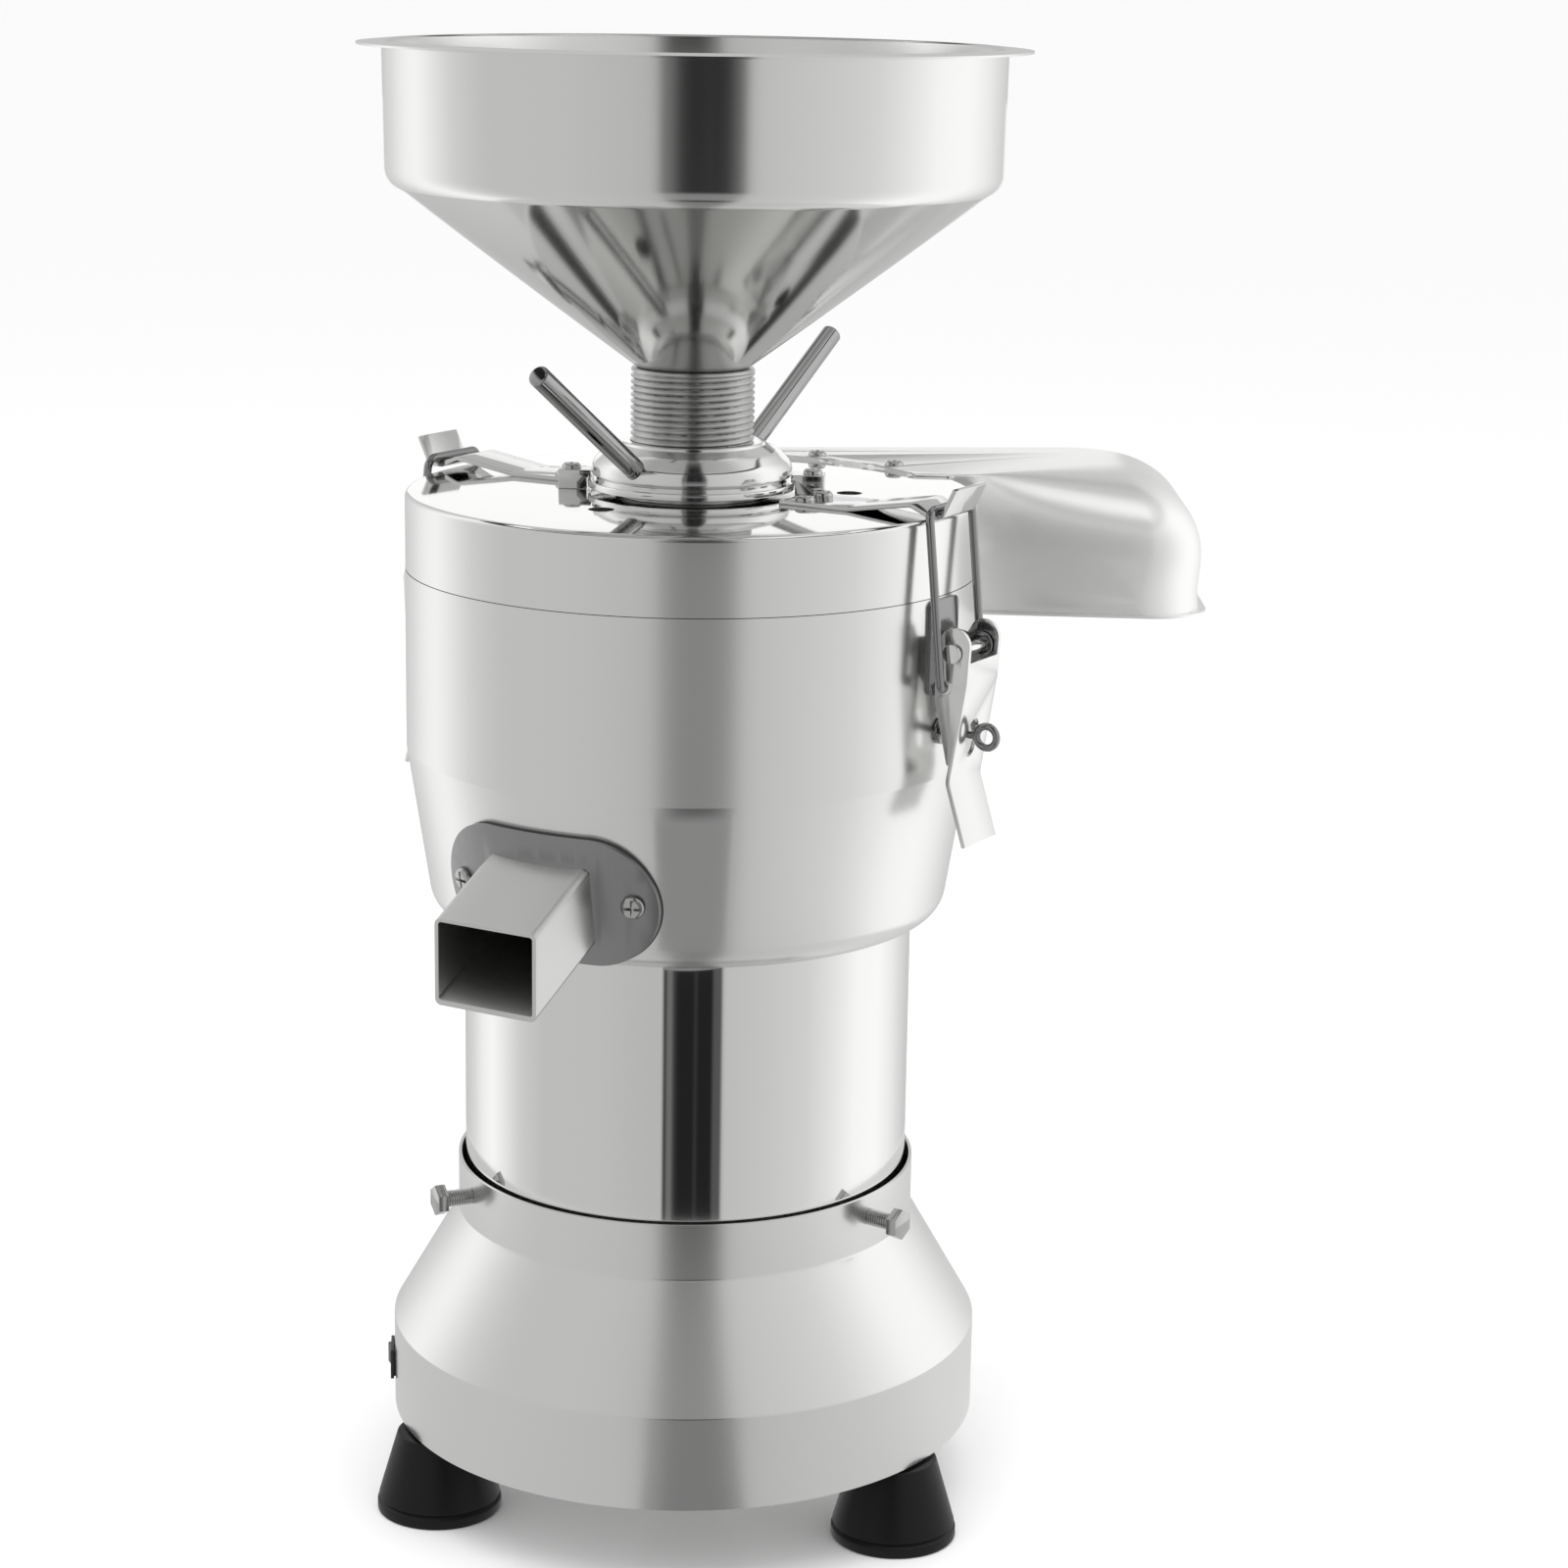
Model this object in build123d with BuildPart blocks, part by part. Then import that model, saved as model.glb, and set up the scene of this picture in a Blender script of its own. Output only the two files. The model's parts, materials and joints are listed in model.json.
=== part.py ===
"""Soy milk machine: a vertical stone grinder with a self-separating basket.

Millimetres, +Z up. The origin is on the machine's upright axis, at the floor under the three feet.
The front, seen from the milk spout's side, faces -Y, and the pulp chute points to +X.
"""
from build123d import *
from math import cos, degrees, radians, sin, tan
import os

os.makedirs("parts", exist_ok=True)

# Driving dimensions: sheet metal and fits
running_fit = 0.05
free_gap = 0.3
casing_sheet = 1.5
chamber_sheet = 2.0
hopper_sheet = 1.0
strap_sheet = 2.0
screw_radius = 2.0
screw_head_radius = 4.6
screw_head_height = 2.4

# Driving dimensions: feet and base
foot_height = 39.5
foot_radius = 30.0
foot_top_radius = 20.0
tripod_angle = -36.0
foot_recess_radius = 9.0
foot_recess_depth = 20.0
foot_seat_radius = 7.5
foot_seat_depth = 26.0
foot_screw_radius = 4.0
foot_screw_head_radius = 7.0
foot_screw_head_height = 5.0
foot_stud_rise = 9.0
foot_inset = 15.0
base_plate_sheet = 1.5
base_radius = 143.0
base_rim_height = 10.0
base_shoulder_z = 86.0
base_shoulder_radius = 40.0
collar_radius = 111.0
collar_foot_z = 141.0
collar_top_z = 168.0
collar_bolt_z = 157.0
collar_bolt_radius = 4.0
collar_bolt_reach = 13.0
bolt_head_flats = 13.0
bolt_head_height = 5.5

# Driving dimensions: motor
sleeve_radius = 107.5
sleeve_sheet = 2.0
sleeve_bottom_z = 143.0
end_shield_height = 8.0
end_shield_rim_height = 22.0
end_shield_rim_wall = 8.0
stator_bottom_z = 180.0
stator_height = 70.0
stator_inner_radius = 60.0
winding_height = 16.0
air_gap = 0.5
shaft_radius = 12.5
shaft_top_radius = 10.0
bearing_radius = 26.0
bearing_width = 15.0
hub_wall = 8.0

# Driving dimensions: milk chamber
chamber_floor_z = 292.0
chamber_top_z = 456.9
chamber_radius = 134.5
chamber_taper_z = 372.0
chamber_bottom_radius = 122.0
chamber_corner_radius = 14.0
chamber_hub_height = 32.0
seal_outer_radius = 20.0
seal_height = 10.0
gasket_height = 14.0
gasket_wall = 3.0

# Driving dimensions: milk spout
spout_angle = -119.5
spout_width = 54.0
spout_height = 40.0
spout_wall = 2.0
spout_reach = 173.0
spout_mouth_z = 301.0
spout_slope = 26.0
flange_width = 112.0
flange_height = 60.0
flange_center_z = 325.0
flange_sheet = 2.0
flange_gasket_sheet = 1.5
flange_screw_spacing = 90.0
flange_screw_radius = 2.5
flange_head_radius = 5.5

# Driving dimensions: grinding set
stone_radius = 50.0
stone_height = 18.0
stone_gap = 1.5
lower_stone_z = 372.0
stone_eye_radius = 23.0
lower_stone_bore = 22.0
rotor_plate_radius = 80.0
rotor_plate_height = 8.0
rotor_hub_radius = 18.0
rotor_hub_bottom_z = 335.0
basket_rim_gap = 17.5
basket_top_z = 463.0
basket_sheet = 1.5
lock_nut_flats = 24.0
lock_nut_height = 10.0
upper_carrier_radius = 54.0
upper_carrier_height = 12.0

# Driving dimensions: lid
lid_radius = 134.3
lid_top_z = 493.2
lid_edge_radius = 3.0
lid_hole_radius = 6.0
lid_hole_circle = 74.0
lid_hole_angle = -2.0
boss_radius = 42.0
boss_neck_radius = 36.0
boss_depth = 27.0
boss_rise = 1.5

# Driving dimensions: feed tube, adjusting nut and handles
tube_radius = 29.0
tube_bore = 23.0
tube_thread_root = 27.6
tube_guide_top_z = 480.0
tube_top_z = 551.0
tube_seat_chamfer = 2.5
guide_pin_z = 474.0
guide_pin_radius = 2.5
guide_pin_depth = 1.6
nut_flange_radius = 48.9
nut_flange_height = 3.4
nut_waist_radius = 47.0
nut_height = 22.0
nut_top_radius = 34.0
handle_radius = 5.0
handle_length = 95.0
handle_tilt = 35.0
handle_angle = 55.5
handle_root_radius = 38.0
handle_root_z = 503.0
clip_angle = 176.0
clip_width = 14.0
clip_length = 13.0
clip_height = 9.0

# Driving dimensions: hopper
hopper_top_z = 700.0
hopper_flange_radius = 154.5
hopper_radius = 142.0
hopper_drum_height = 63.0
hopper_corner_radius = 10.0
hopper_neck_radius = 25.0
hopper_neck_z = 551.5
hopper_spigot_radius = 22.6
hopper_spigot_length = 22.0

# Driving dimensions: pulp chute
chute_reach = 249.0
chute_front_y = 43.0
chute_back_angle = 6.0
chute_bottom_z = 427.0
chute_sheet = 1.2
chute_rim_flare = 3.0
chute_overlap_radius = 120.0
chute_window_low_z = 462.0
chute_screw_reach = 127.0
chute_screw_angles = (40.0, 62.0, 84.0)

# Driving dimensions: latches
latch_angle = -30.0
strap_width = 30.0
strap_start = 56.0
strap_screw_reach = 66.0
strap_screw_pitch = 17.0
bail_radius = 2.0
bail_top_standoff = 2.7
bail_top_z = 498.5
bail_foot_standoff = 10.5
bail_foot_drop = 16.0
bail_half_width = 20.5
lever_pivot_standoff = 13.5
lever_pivot_z = 434.0
lever_width = 31.0
lever_sheet = 2.0
lever_tail_z = 345.0
latch_pin_radius = 3.0
latch_stud_half_width = 17.5
bracket_width = 26.0
staple_z = 394.0

# Driving dimensions: switch, gland and capacitor
switch_angle = 185.0
switch_z = 60.0
bezel_width = 21.0
bezel_height = 15.0
bezel_proud = 2.0
rocker_width = 16.0
rocker_height = 10.5
gland_angle = 96.0
gland_radius = 9.0
capacitor_radius = 20.0
capacitor_length = 70.0

# Levels and radii that follow from the driving dimensions
foot_circle_radius = base_radius - foot_inset
plate_top_z = foot_height + base_plate_sheet
base_inner_radius = base_radius - casing_sheet
sleeve_inner_radius = sleeve_radius - sleeve_sheet
stator_top_z = stator_bottom_z + stator_height
lower_stone_top_z = lower_stone_z + stone_height
upper_stone_z = lower_stone_top_z + stone_gap
upper_carrier_z = upper_stone_z + stone_height
upper_carrier_top_z = upper_carrier_z + upper_carrier_height
lid_under_z = lid_top_z - casing_sheet
lid_skirt_z = chamber_top_z + free_gap
boss_top_z = lid_top_z + boss_rise
nut_bottom_z = boss_top_z + free_gap
nut_top_z = nut_bottom_z + nut_height
taper_slope = (chamber_radius - chamber_bottom_radius) / (chamber_taper_z - chamber_floor_z)
bail_top_reach = lid_radius + bail_top_standoff
bail_foot_reach = chamber_radius + bail_foot_standoff
lever_pivot_reach = chamber_radius + lever_pivot_standoff
bail_foot_z = lever_pivot_z - bail_foot_drop
basket_top_radius = chamber_radius - basket_rim_gap
hopper_corner_z = hopper_top_z - hopper_drum_height
latch_angles = {"right": latch_angle, "left": latch_angle + 180}


def around(radius, angle, z=0.0):
    """A point at a radius and an angle about the machine's axis."""
    return (radius * cos(radians(angle)), radius * sin(radians(angle)), z)


def upright_plane(angle, aside=0.0):
    """The plane through the machine's axis at an angle: its x runs outwards and its y up."""
    outwards = Vector(cos(radians(angle)), sin(radians(angle)), 0)
    across = Vector(sin(radians(angle)), -cos(radians(angle)), 0)
    return Plane(origin=across * aside, x_dir=outwards, z_dir=across)


def facing_plane(radius, angle, z):
    """A plane that faces outwards at a radius: its x runs sideways and its y up."""
    outwards = Vector(cos(radians(angle)), sin(radians(angle)), 0)
    sideways = Vector(-sin(radians(angle)), cos(radians(angle)), 0)
    return Plane(origin=around(radius, angle, z), x_dir=sideways, z_dir=outwards)


def save(builder, label):
    """Labels a finished piece and writes it under that name."""
    builder.part.label = label
    export_step(builder.part, f"parts/{label}.step")


def disc(radius, low, high):
    """A plain turned disc, made apart from any open block."""
    return Pos(0, 0, low) * Cylinder(
        radius,
        high - low,
        align=(Align.CENTER, Align.CENTER, Align.MIN),
        mode=Mode.PRIVATE,
    )


def ring(inner, outer, low, high):
    """A turned ring, made apart from any open block."""
    return disc(outer, low, high) - disc(inner, low, high)


def pan_screw(place, length):
    """An upright pan-head screw with the underside of its head on a point."""
    upright = (Align.CENTER, Align.CENTER, Align.MIN)
    head = Cone(screw_head_radius, screw_head_radius - 1, screw_head_height, align=upright, mode=Mode.PRIVATE)
    shank = Cylinder(screw_radius, length, align=(Align.CENTER, Align.CENTER, Align.MAX), mode=Mode.PRIVATE)
    return Pos(*place) * (head + shank)


# Three rubber feet, each a cone with a groove above its sole and a recess for its screw
with BuildPart() as rubber_feet:
    with BuildSketch(Plane.XZ):
        with BuildLine():
            Polyline(
                (foot_recess_radius, 0),
                (foot_radius - 1, 0),
                (foot_radius, 1),
                (foot_radius, 5),
                (foot_radius - 1.5, 6),
                (foot_radius - 0.5, 7.5),
                (foot_top_radius, foot_height),
                (foot_screw_radius, foot_height),
                (foot_screw_radius, foot_seat_depth),
                (foot_seat_radius, foot_seat_depth),
                (foot_seat_radius, foot_recess_depth),
                (foot_recess_radius, foot_recess_depth),
                close=True,
            )
        make_face()
    revolve(axis=Axis.Z)
foot_solid = rubber_feet.part
with BuildPart() as rubber_feet:
    with PolarLocations(foot_circle_radius, 3, start_angle=tripod_angle):
        add(foot_solid)
save(rubber_feet, "rubber_feet")

# The screws that hold the feet, each with its nut on top of the base plate
foot_screw_head_z = foot_seat_depth - foot_screw_head_height
foot_stud_length = plate_top_z + foot_stud_rise - foot_screw_head_z
upright = (Align.CENTER, Align.CENTER, Align.MIN)
with BuildPart() as foot_screws:
    with PolarLocations(foot_circle_radius, 3, start_angle=tripod_angle):
        with Locations((0, 0, foot_screw_head_z)):
            Cylinder(foot_screw_head_radius, foot_screw_head_height, align=upright)
            Cylinder(foot_screw_radius, foot_stud_length, align=upright)
    with BuildSketch(Plane.XY.offset(plate_top_z)):
        with PolarLocations(foot_circle_radius, 3, start_angle=tripod_angle):
            RegularPolygon(bolt_head_flats / 2, 6, major_radius=False)
    extrude(amount=6.5)
save(foot_screws, "foot_screws")

# The pressed base plate, a shallow pan that closes the base from below
with BuildPart() as base_plate:
    with BuildSketch(Plane.XZ):
        with BuildLine():
            pan_edge = base_inner_radius - running_fit
            FilletPolyline(
                (0, plate_top_z),
                (pan_edge - base_plate_sheet, plate_top_z),
                (pan_edge - base_plate_sheet, plate_top_z + base_rim_height),
                radius=2,
            )
            offset(amount=base_plate_sheet, side=Side.RIGHT)
        make_face()
    revolve(axis=Axis.Z)
    with PolarLocations(foot_circle_radius, 3, start_angle=tripod_angle):
        Hole(foot_screw_radius)
save(base_plate, "base_plate")

# The spun base shell: collar, flare and skirt in one sheet
with BuildPart() as base_shell:
    with BuildSketch(Plane.XZ):
        with BuildLine():
            FilletPolyline(
                (collar_radius, collar_top_z),
                (collar_radius, collar_foot_z),
                (base_radius, base_shoulder_z),
                (base_radius, plate_top_z),
                radius=(3, base_shoulder_radius),
            )
            offset(amount=casing_sheet, side=Side.RIGHT)
        make_face()
    revolve(axis=Axis.Z)
    for turn in range(3):
        with Locations(facing_plane(collar_radius, tripod_angle + 120 * turn, collar_bolt_z).location):
            Hole(collar_bolt_radius + free_gap, depth=2 * casing_sheet)
    with BuildSketch(facing_plane(base_radius + 5, switch_angle, switch_z)):
        Rectangle(bezel_width - 2, bezel_height - 2)
    extrude(amount=-10, mode=Mode.SUBTRACT)
    with Locations(facing_plane(base_radius, gland_angle, switch_z).location):
        Hole(gland_radius - 2, depth=2 * casing_sheet)
save(base_shell, "base_shell")

# Three bolts through the collar that clamp the motor, left standing a little out of it
with BuildPart() as collar_bolts:
    for turn in range(3):
        bolt_plane = facing_plane(sleeve_inner_radius - 6, tripod_angle + 120 * turn, collar_bolt_z)
        shank_length = collar_radius + collar_bolt_reach - sleeve_inner_radius + 6
        with BuildSketch(bolt_plane):
            Circle(collar_bolt_radius)
        extrude(amount=shank_length)
        with BuildSketch(bolt_plane.offset(shank_length)):
            RegularPolygon(bolt_head_flats / 2, 6, major_radius=False)
        extrude(amount=bolt_head_height)
save(collar_bolts, "collar_bolts")

# The rocker switch: a bezel in the skirt, and the rocker that tilts in it
switch_plane = facing_plane(base_radius, switch_angle, switch_z)
with BuildPart() as switch_frame:
    with BuildSketch(switch_plane.offset(0.4)):
        RectangleRounded(bezel_width, bezel_height, 1.2)
    extrude(amount=bezel_proud - 0.4)
    with BuildSketch(switch_plane.offset(0.4)):
        Rectangle(bezel_width - 2.4, bezel_height - 2.4)
    extrude(amount=-18)
    with BuildSketch(switch_plane.offset(bezel_proud)):
        Rectangle(rocker_width + 1.6, rocker_height + 0.8)
    extrude(amount=-10, mode=Mode.SUBTRACT)
save(switch_frame, "switch_frame")

rocker_depth = 2.0
rocker_tilt = 8.0
rocker_plane = Plane(
    origin=around(base_radius - rocker_depth, switch_angle, switch_z),
    x_dir=switch_plane.x_dir,
    z_dir=(0, 0, -1),
)
with BuildPart() as switch_rocker:
    with BuildSketch(rocker_plane.rotated((0, 0, rocker_tilt))):
        with BuildLine():
            half = rocker_width / 2
            Polyline((-half, -2), (-half, 4.6), (0, 3.2), (half, 4.6), (half, -2), (0, -5), close=True)
        make_face()
    extrude(amount=rocker_height / 2, both=True)
save(switch_rocker, "switch_rocker")

# The gland for the supply lead at the back, and the motor's run capacitor on the base plate
with BuildPart() as cable_gland:
    with BuildSketch(facing_plane(base_radius + 0.2, gland_angle, switch_z)):
        Circle(gland_radius + 2)
    extrude(amount=4)
    with BuildSketch(facing_plane(base_radius + 4, gland_angle, switch_z)):
        Circle(gland_radius)
    extrude(amount=10, taper=6)
    with BuildSketch(facing_plane(base_radius + 0.2, gland_angle, switch_z)):
        Circle(gland_radius - 2 - running_fit)
    extrude(amount=-8)
    with Locations(facing_plane(base_radius + 14, gland_angle, switch_z).location):
        Hole(3.7)
save(cable_gland, "cable_gland")

capacitor_z = plate_top_z + capacitor_radius + strap_sheet
with BuildPart() as capacitor:
    with BuildSketch(Plane.YZ.offset(-capacitor_length / 2)):
        with Locations((0, capacitor_z)):
            Circle(capacitor_radius)
    extrude(amount=capacitor_length)
    fillet(capacitor.edges().filter_by(GeomType.CIRCLE), 2)
save(capacitor, "capacitor")

with BuildPart() as capacitor_clamp:
    with BuildSketch(Plane.YZ.offset(-8)):
        with Locations((0, capacitor_z)):
            Circle(capacitor_radius + strap_sheet)
        with Locations((0, plate_top_z + 1)):
            Rectangle(2 * capacitor_radius + 30, 2)
        with Locations((0, capacitor_z)):
            Circle(capacitor_radius + running_fit, mode=Mode.SUBTRACT)
    extrude(amount=16)
save(capacitor_clamp, "capacitor_clamp")

# The motor: polished sleeve, two end shields, stator with its windings, rotor, bearings and shaft
with BuildPart() as motor_sleeve:
    add(ring(sleeve_inner_radius, sleeve_radius, sleeve_bottom_z, chamber_floor_z))
    for turn in range(3):
        with Locations(facing_plane(sleeve_radius, tripod_angle + 120 * turn, collar_bolt_z).location):
            Hole(collar_bolt_radius + free_gap, depth=2 * sleeve_sheet)
save(motor_sleeve, "motor_sleeve")

shield_radius = sleeve_inner_radius - running_fit
bearing_seat = bearing_radius + running_fit
lower_bearing_z = sleeve_bottom_z + 3
upper_bearing_z = chamber_floor_z - 3 - bearing_width
with BuildPart() as lower_end_shield:
    add(ring(shaft_radius + 2, shield_radius, sleeve_bottom_z, sleeve_bottom_z + end_shield_height))
    rim_top_z = sleeve_bottom_z + end_shield_rim_height
    add(ring(shield_radius - end_shield_rim_wall, shield_radius, sleeve_bottom_z, rim_top_z))
    hub_top_z = lower_bearing_z + bearing_width
    add(ring(shaft_radius + 2, bearing_seat + hub_wall, sleeve_bottom_z, hub_top_z))
    with Locations((0, 0, lower_bearing_z)):
        Cylinder(
            bearing_seat,
            bearing_width + 5,
            align=(Align.CENTER, Align.CENTER, Align.MIN),
            mode=Mode.SUBTRACT,
        )
    for turn in range(3):
        with Locations(facing_plane(shield_radius, tripod_angle + 120 * turn, collar_bolt_z).location):
            Hole(collar_bolt_radius, depth=end_shield_rim_wall + 2)
save(lower_end_shield, "lower_end_shield")

with BuildPart() as upper_end_shield:
    add(ring(shaft_radius + 2, shield_radius, chamber_floor_z - end_shield_height, chamber_floor_z))
    add(ring(shaft_radius + 2, bearing_seat + hub_wall, upper_bearing_z, chamber_floor_z))
    with Locations((0, 0, upper_bearing_z - 1)):
        Cylinder(
            bearing_seat,
            bearing_width + 1,
            align=(Align.CENTER, Align.CENTER, Align.MIN),
            mode=Mode.SUBTRACT,
        )
save(upper_end_shield, "upper_end_shield")

for name, bearing_z in {"lower": lower_bearing_z, "upper": upper_bearing_z}.items():
    with BuildPart() as bearing:
        add(ring(shaft_radius + running_fit, bearing_radius, bearing_z, bearing_z + bearing_width))
        groove_radius = (shaft_radius + bearing_radius) / 2
        for face_z in (bearing_z + 0.5, bearing_z + bearing_width - 0.5):
            with Locations((0, 0, face_z)):
                Torus(groove_radius, 2, mode=Mode.SUBTRACT)
    save(bearing, f"{name}_bearing")

with BuildPart() as stator:
    add(ring(stator_inner_radius, shield_radius, stator_bottom_z, stator_top_z))
save(stator, "stator")

with BuildPart() as windings:
    for low in (stator_bottom_z - winding_height, stator_top_z):
        add(ring(stator_inner_radius + 4, stator_inner_radius + 34, low, low + winding_height))
    winding_edges = windings.edges().filter_by(GeomType.CIRCLE)
    fillet(winding_edges.group_by(Axis.Z)[0] + winding_edges.group_by(Axis.Z)[-1], 5)
save(windings, "windings")

with BuildPart() as rotor_core:
    add(ring(shaft_radius, stator_inner_radius - air_gap, stator_bottom_z - 2, stator_top_z + 2))
save(rotor_core, "rotor_core")

shaft_step_z = chamber_floor_z + chamber_hub_height + 6
shaft_end_z = lower_stone_top_z - 3
with BuildPart() as motor_shaft:
    with BuildSketch(Plane.XZ):
        with BuildLine():
            Polyline(
                (0, sleeve_bottom_z + 1),
                (shaft_radius - 1, sleeve_bottom_z + 1),
                (shaft_radius, sleeve_bottom_z + 2),
                (shaft_radius, shaft_step_z),
                (shaft_top_radius, shaft_step_z),
                (shaft_top_radius, shaft_end_z - 1),
                (shaft_top_radius - 1, shaft_end_z),
                (0, shaft_end_z),
                close=True,
            )
        make_face()
    revolve(axis=Axis.Z)
save(motor_shaft, "motor_shaft")


def body_cone(grow):
    """The chamber's straight taper as a solid, grown outwards, for what is fitted to its outside."""
    high = chamber_taper_z
    low = chamber_floor_z - 20
    high_radius = chamber_radius + grow
    low_radius = high_radius - taper_slope * (high - low)
    return Pos(0, 0, (low + high) / 2) * Cone(low_radius, high_radius, high - low, mode=Mode.PRIVATE)


# The spout's duct, outside and inside, as solids that slope up from the mouth into the chamber
mouth_plane = facing_plane(spout_reach, spout_angle, spout_mouth_z)
duct_direction = Vector(0, 0, 1) * sin(radians(spout_slope)) - mouth_plane.z_dir * cos(radians(spout_slope))
duct_inner_reach = 100.0
duct_length = (spout_reach - duct_inner_reach) / cos(radians(spout_slope))
with BuildPart() as duct_outside:
    with BuildSketch(mouth_plane):
        RectangleRounded(spout_width, spout_height, 3)
    extrude(amount=duct_length, dir=duct_direction)
with BuildPart() as duct_inside:
    with BuildSketch(mouth_plane.offset(1)):
        RectangleRounded(spout_width - 2 * spout_wall, spout_height - 2 * spout_wall, 1.5)
    extrude(amount=duct_length, dir=duct_direction)

# Where the spout's flange and its two screws sit on the chamber
flange_plane = facing_plane(chamber_radius + 30, spout_angle, flange_center_z)
flange_base = flange_gasket_sheet + flange_sheet
flange_mid_radius = chamber_radius - taper_slope * (chamber_taper_z - flange_center_z)
flange_screw_turn = degrees(flange_screw_spacing / 2 / flange_mid_radius)


def flange_screw_plane(side, grow):
    """The plane on the flange where one of its two screws stands, square to the taper."""
    turn = spout_angle + side * flange_screw_turn
    outwards = Vector(cos(radians(turn)), sin(radians(turn)), 0)
    sideways = Vector(-sin(radians(turn)), cos(radians(turn)), 0)
    return Plane(
        origin=around(flange_mid_radius + grow, turn, flange_center_z),
        x_dir=sideways,
        z_dir=outwards - Vector(0, 0, taper_slope),
    )

# The milk chamber: a spun pot with a raised hub, a window for the spout and its screws' holes
chamber_hub_radius = seal_outer_radius + chamber_sheet
with BuildPart() as milk_chamber:
    with BuildSketch(Plane.XZ):
        with BuildLine():
            FilletPolyline(
                (chamber_radius, chamber_top_z),
                (chamber_radius, chamber_taper_z),
                (chamber_bottom_radius, chamber_floor_z),
                (seal_outer_radius, chamber_floor_z),
                radius=(30, chamber_corner_radius),
            )
            offset(amount=chamber_sheet, side=Side.RIGHT)
        make_face()
    revolve(axis=Axis.Z)
    add(ring(seal_outer_radius, chamber_hub_radius, chamber_floor_z, chamber_floor_z + chamber_hub_height))
    add(duct_inside.part, mode=Mode.SUBTRACT)
    for side in (-1, 1):
        with Locations(flange_screw_plane(side, flange_base).location):
            Hole(flange_screw_radius + running_fit, depth=12)
save(milk_chamber, "milk_chamber")

# The rubber band inside the chamber's rim that the lid closes over, and the seal round the shaft
with BuildPart() as chamber_seal:
    band_radius = chamber_radius - chamber_sheet
    add(ring(band_radius - gasket_wall, band_radius, chamber_top_z + 4 - gasket_height, chamber_top_z + 4))
save(chamber_seal, "chamber_seal")
with BuildPart() as shaft_seal:
    add(ring(shaft_radius + running_fit, seal_outer_radius, chamber_floor_z, chamber_floor_z + seal_height))
save(shaft_seal, "shaft_seal")

# The milk spout: a sloping duct welded to a flange that is curved to the chamber, on a gasket
with BuildPart() as spout_gasket:
    with BuildSketch(flange_plane):
        SlotOverall(flange_width, flange_height)
    extrude(amount=-80)
    add(body_cone(flange_gasket_sheet), mode=Mode.INTERSECT)
    add(body_cone(0), mode=Mode.SUBTRACT)
    add(duct_inside.part, mode=Mode.SUBTRACT)
    for side in (-1, 1):
        with Locations(flange_screw_plane(side, flange_base).location):
            Hole(flange_screw_radius + running_fit, depth=10)
save(spout_gasket, "spout_gasket")

with BuildPart() as milk_spout:
    with BuildSketch(flange_plane):
        SlotOverall(flange_width, flange_height)
    extrude(amount=-80)
    add(body_cone(flange_base), mode=Mode.INTERSECT)
    add(duct_outside.part)
    add(body_cone(flange_gasket_sheet), mode=Mode.SUBTRACT)
    add(duct_inside.part, mode=Mode.SUBTRACT)
    for side in (-1, 1):
        with Locations(flange_screw_plane(side, flange_base).location):
            Hole(flange_screw_radius + running_fit, depth=10)
save(milk_spout, "milk_spout")

with BuildPart() as spout_screws:
    for side in (-1, 1):
        head_plane = flange_screw_plane(side, flange_base + 0.2)
        with BuildSketch(head_plane):
            Circle(flange_head_radius)
        extrude(amount=2.6, taper=20)
        with BuildSketch(head_plane):
            Circle(flange_screw_radius)
        extrude(amount=-10)
save(spout_screws, "spout_screws")

# The spinning set: carrier plate with vanes and flinger, basket, lower stone, washer and lock nut
rotor_plate_z = lower_stone_z - rotor_plate_height
flinger_radius = chamber_hub_radius + 3
with BuildPart() as rotor_plate:
    add(ring(shaft_top_radius, rotor_plate_radius, rotor_plate_z, lower_stone_z))
    add(ring(shaft_top_radius, rotor_hub_radius, rotor_hub_bottom_z, rotor_plate_z))
    add(ring(flinger_radius, flinger_radius + 2.5, chamber_floor_z + chamber_hub_height - 6, rotor_plate_z))
    with BuildSketch(Plane.XY.offset(rotor_plate_z)):
        with PolarLocations((flinger_radius + rotor_plate_radius) / 2, 6):
            Rectangle(rotor_plate_radius - flinger_radius - 6, 3)
    extrude(amount=-12)
save(rotor_plate, "rotor_plate")

with BuildPart() as sieve_basket:
    with BuildSketch(Plane.XZ):
        with BuildLine():
            FilletPolyline(
                (stone_radius + 1, lower_stone_z),
                (rotor_plate_radius, lower_stone_z),
                (basket_top_radius, basket_top_z - 2),
                (basket_top_radius + 3, basket_top_z - 2),
                radius=(3, 2),
            )
            offset(amount=basket_sheet, side=Side.LEFT)
        make_face()
    revolve(axis=Axis.Z)
save(sieve_basket, "sieve_basket")

with BuildPart() as lower_stone:
    add(ring(lower_stone_bore, stone_radius, lower_stone_z, lower_stone_top_z))
    chamfer(lower_stone.edges().filter_by(GeomType.CIRCLE).group_by(Axis.Z)[-1], 1)
save(lower_stone, "lower_stone")

with BuildPart() as lock_nut:
    add(ring(shaft_top_radius, lower_stone_bore - 0.5, lower_stone_z, lower_stone_z + 2))
    with BuildSketch(Plane.XY.offset(lower_stone_z + 2)):
        RegularPolygon(lock_nut_flats / 2, 6, major_radius=False)
        Circle(shaft_top_radius, mode=Mode.SUBTRACT)
    extrude(amount=lock_nut_height)
save(lock_nut, "lock_nut")

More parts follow.
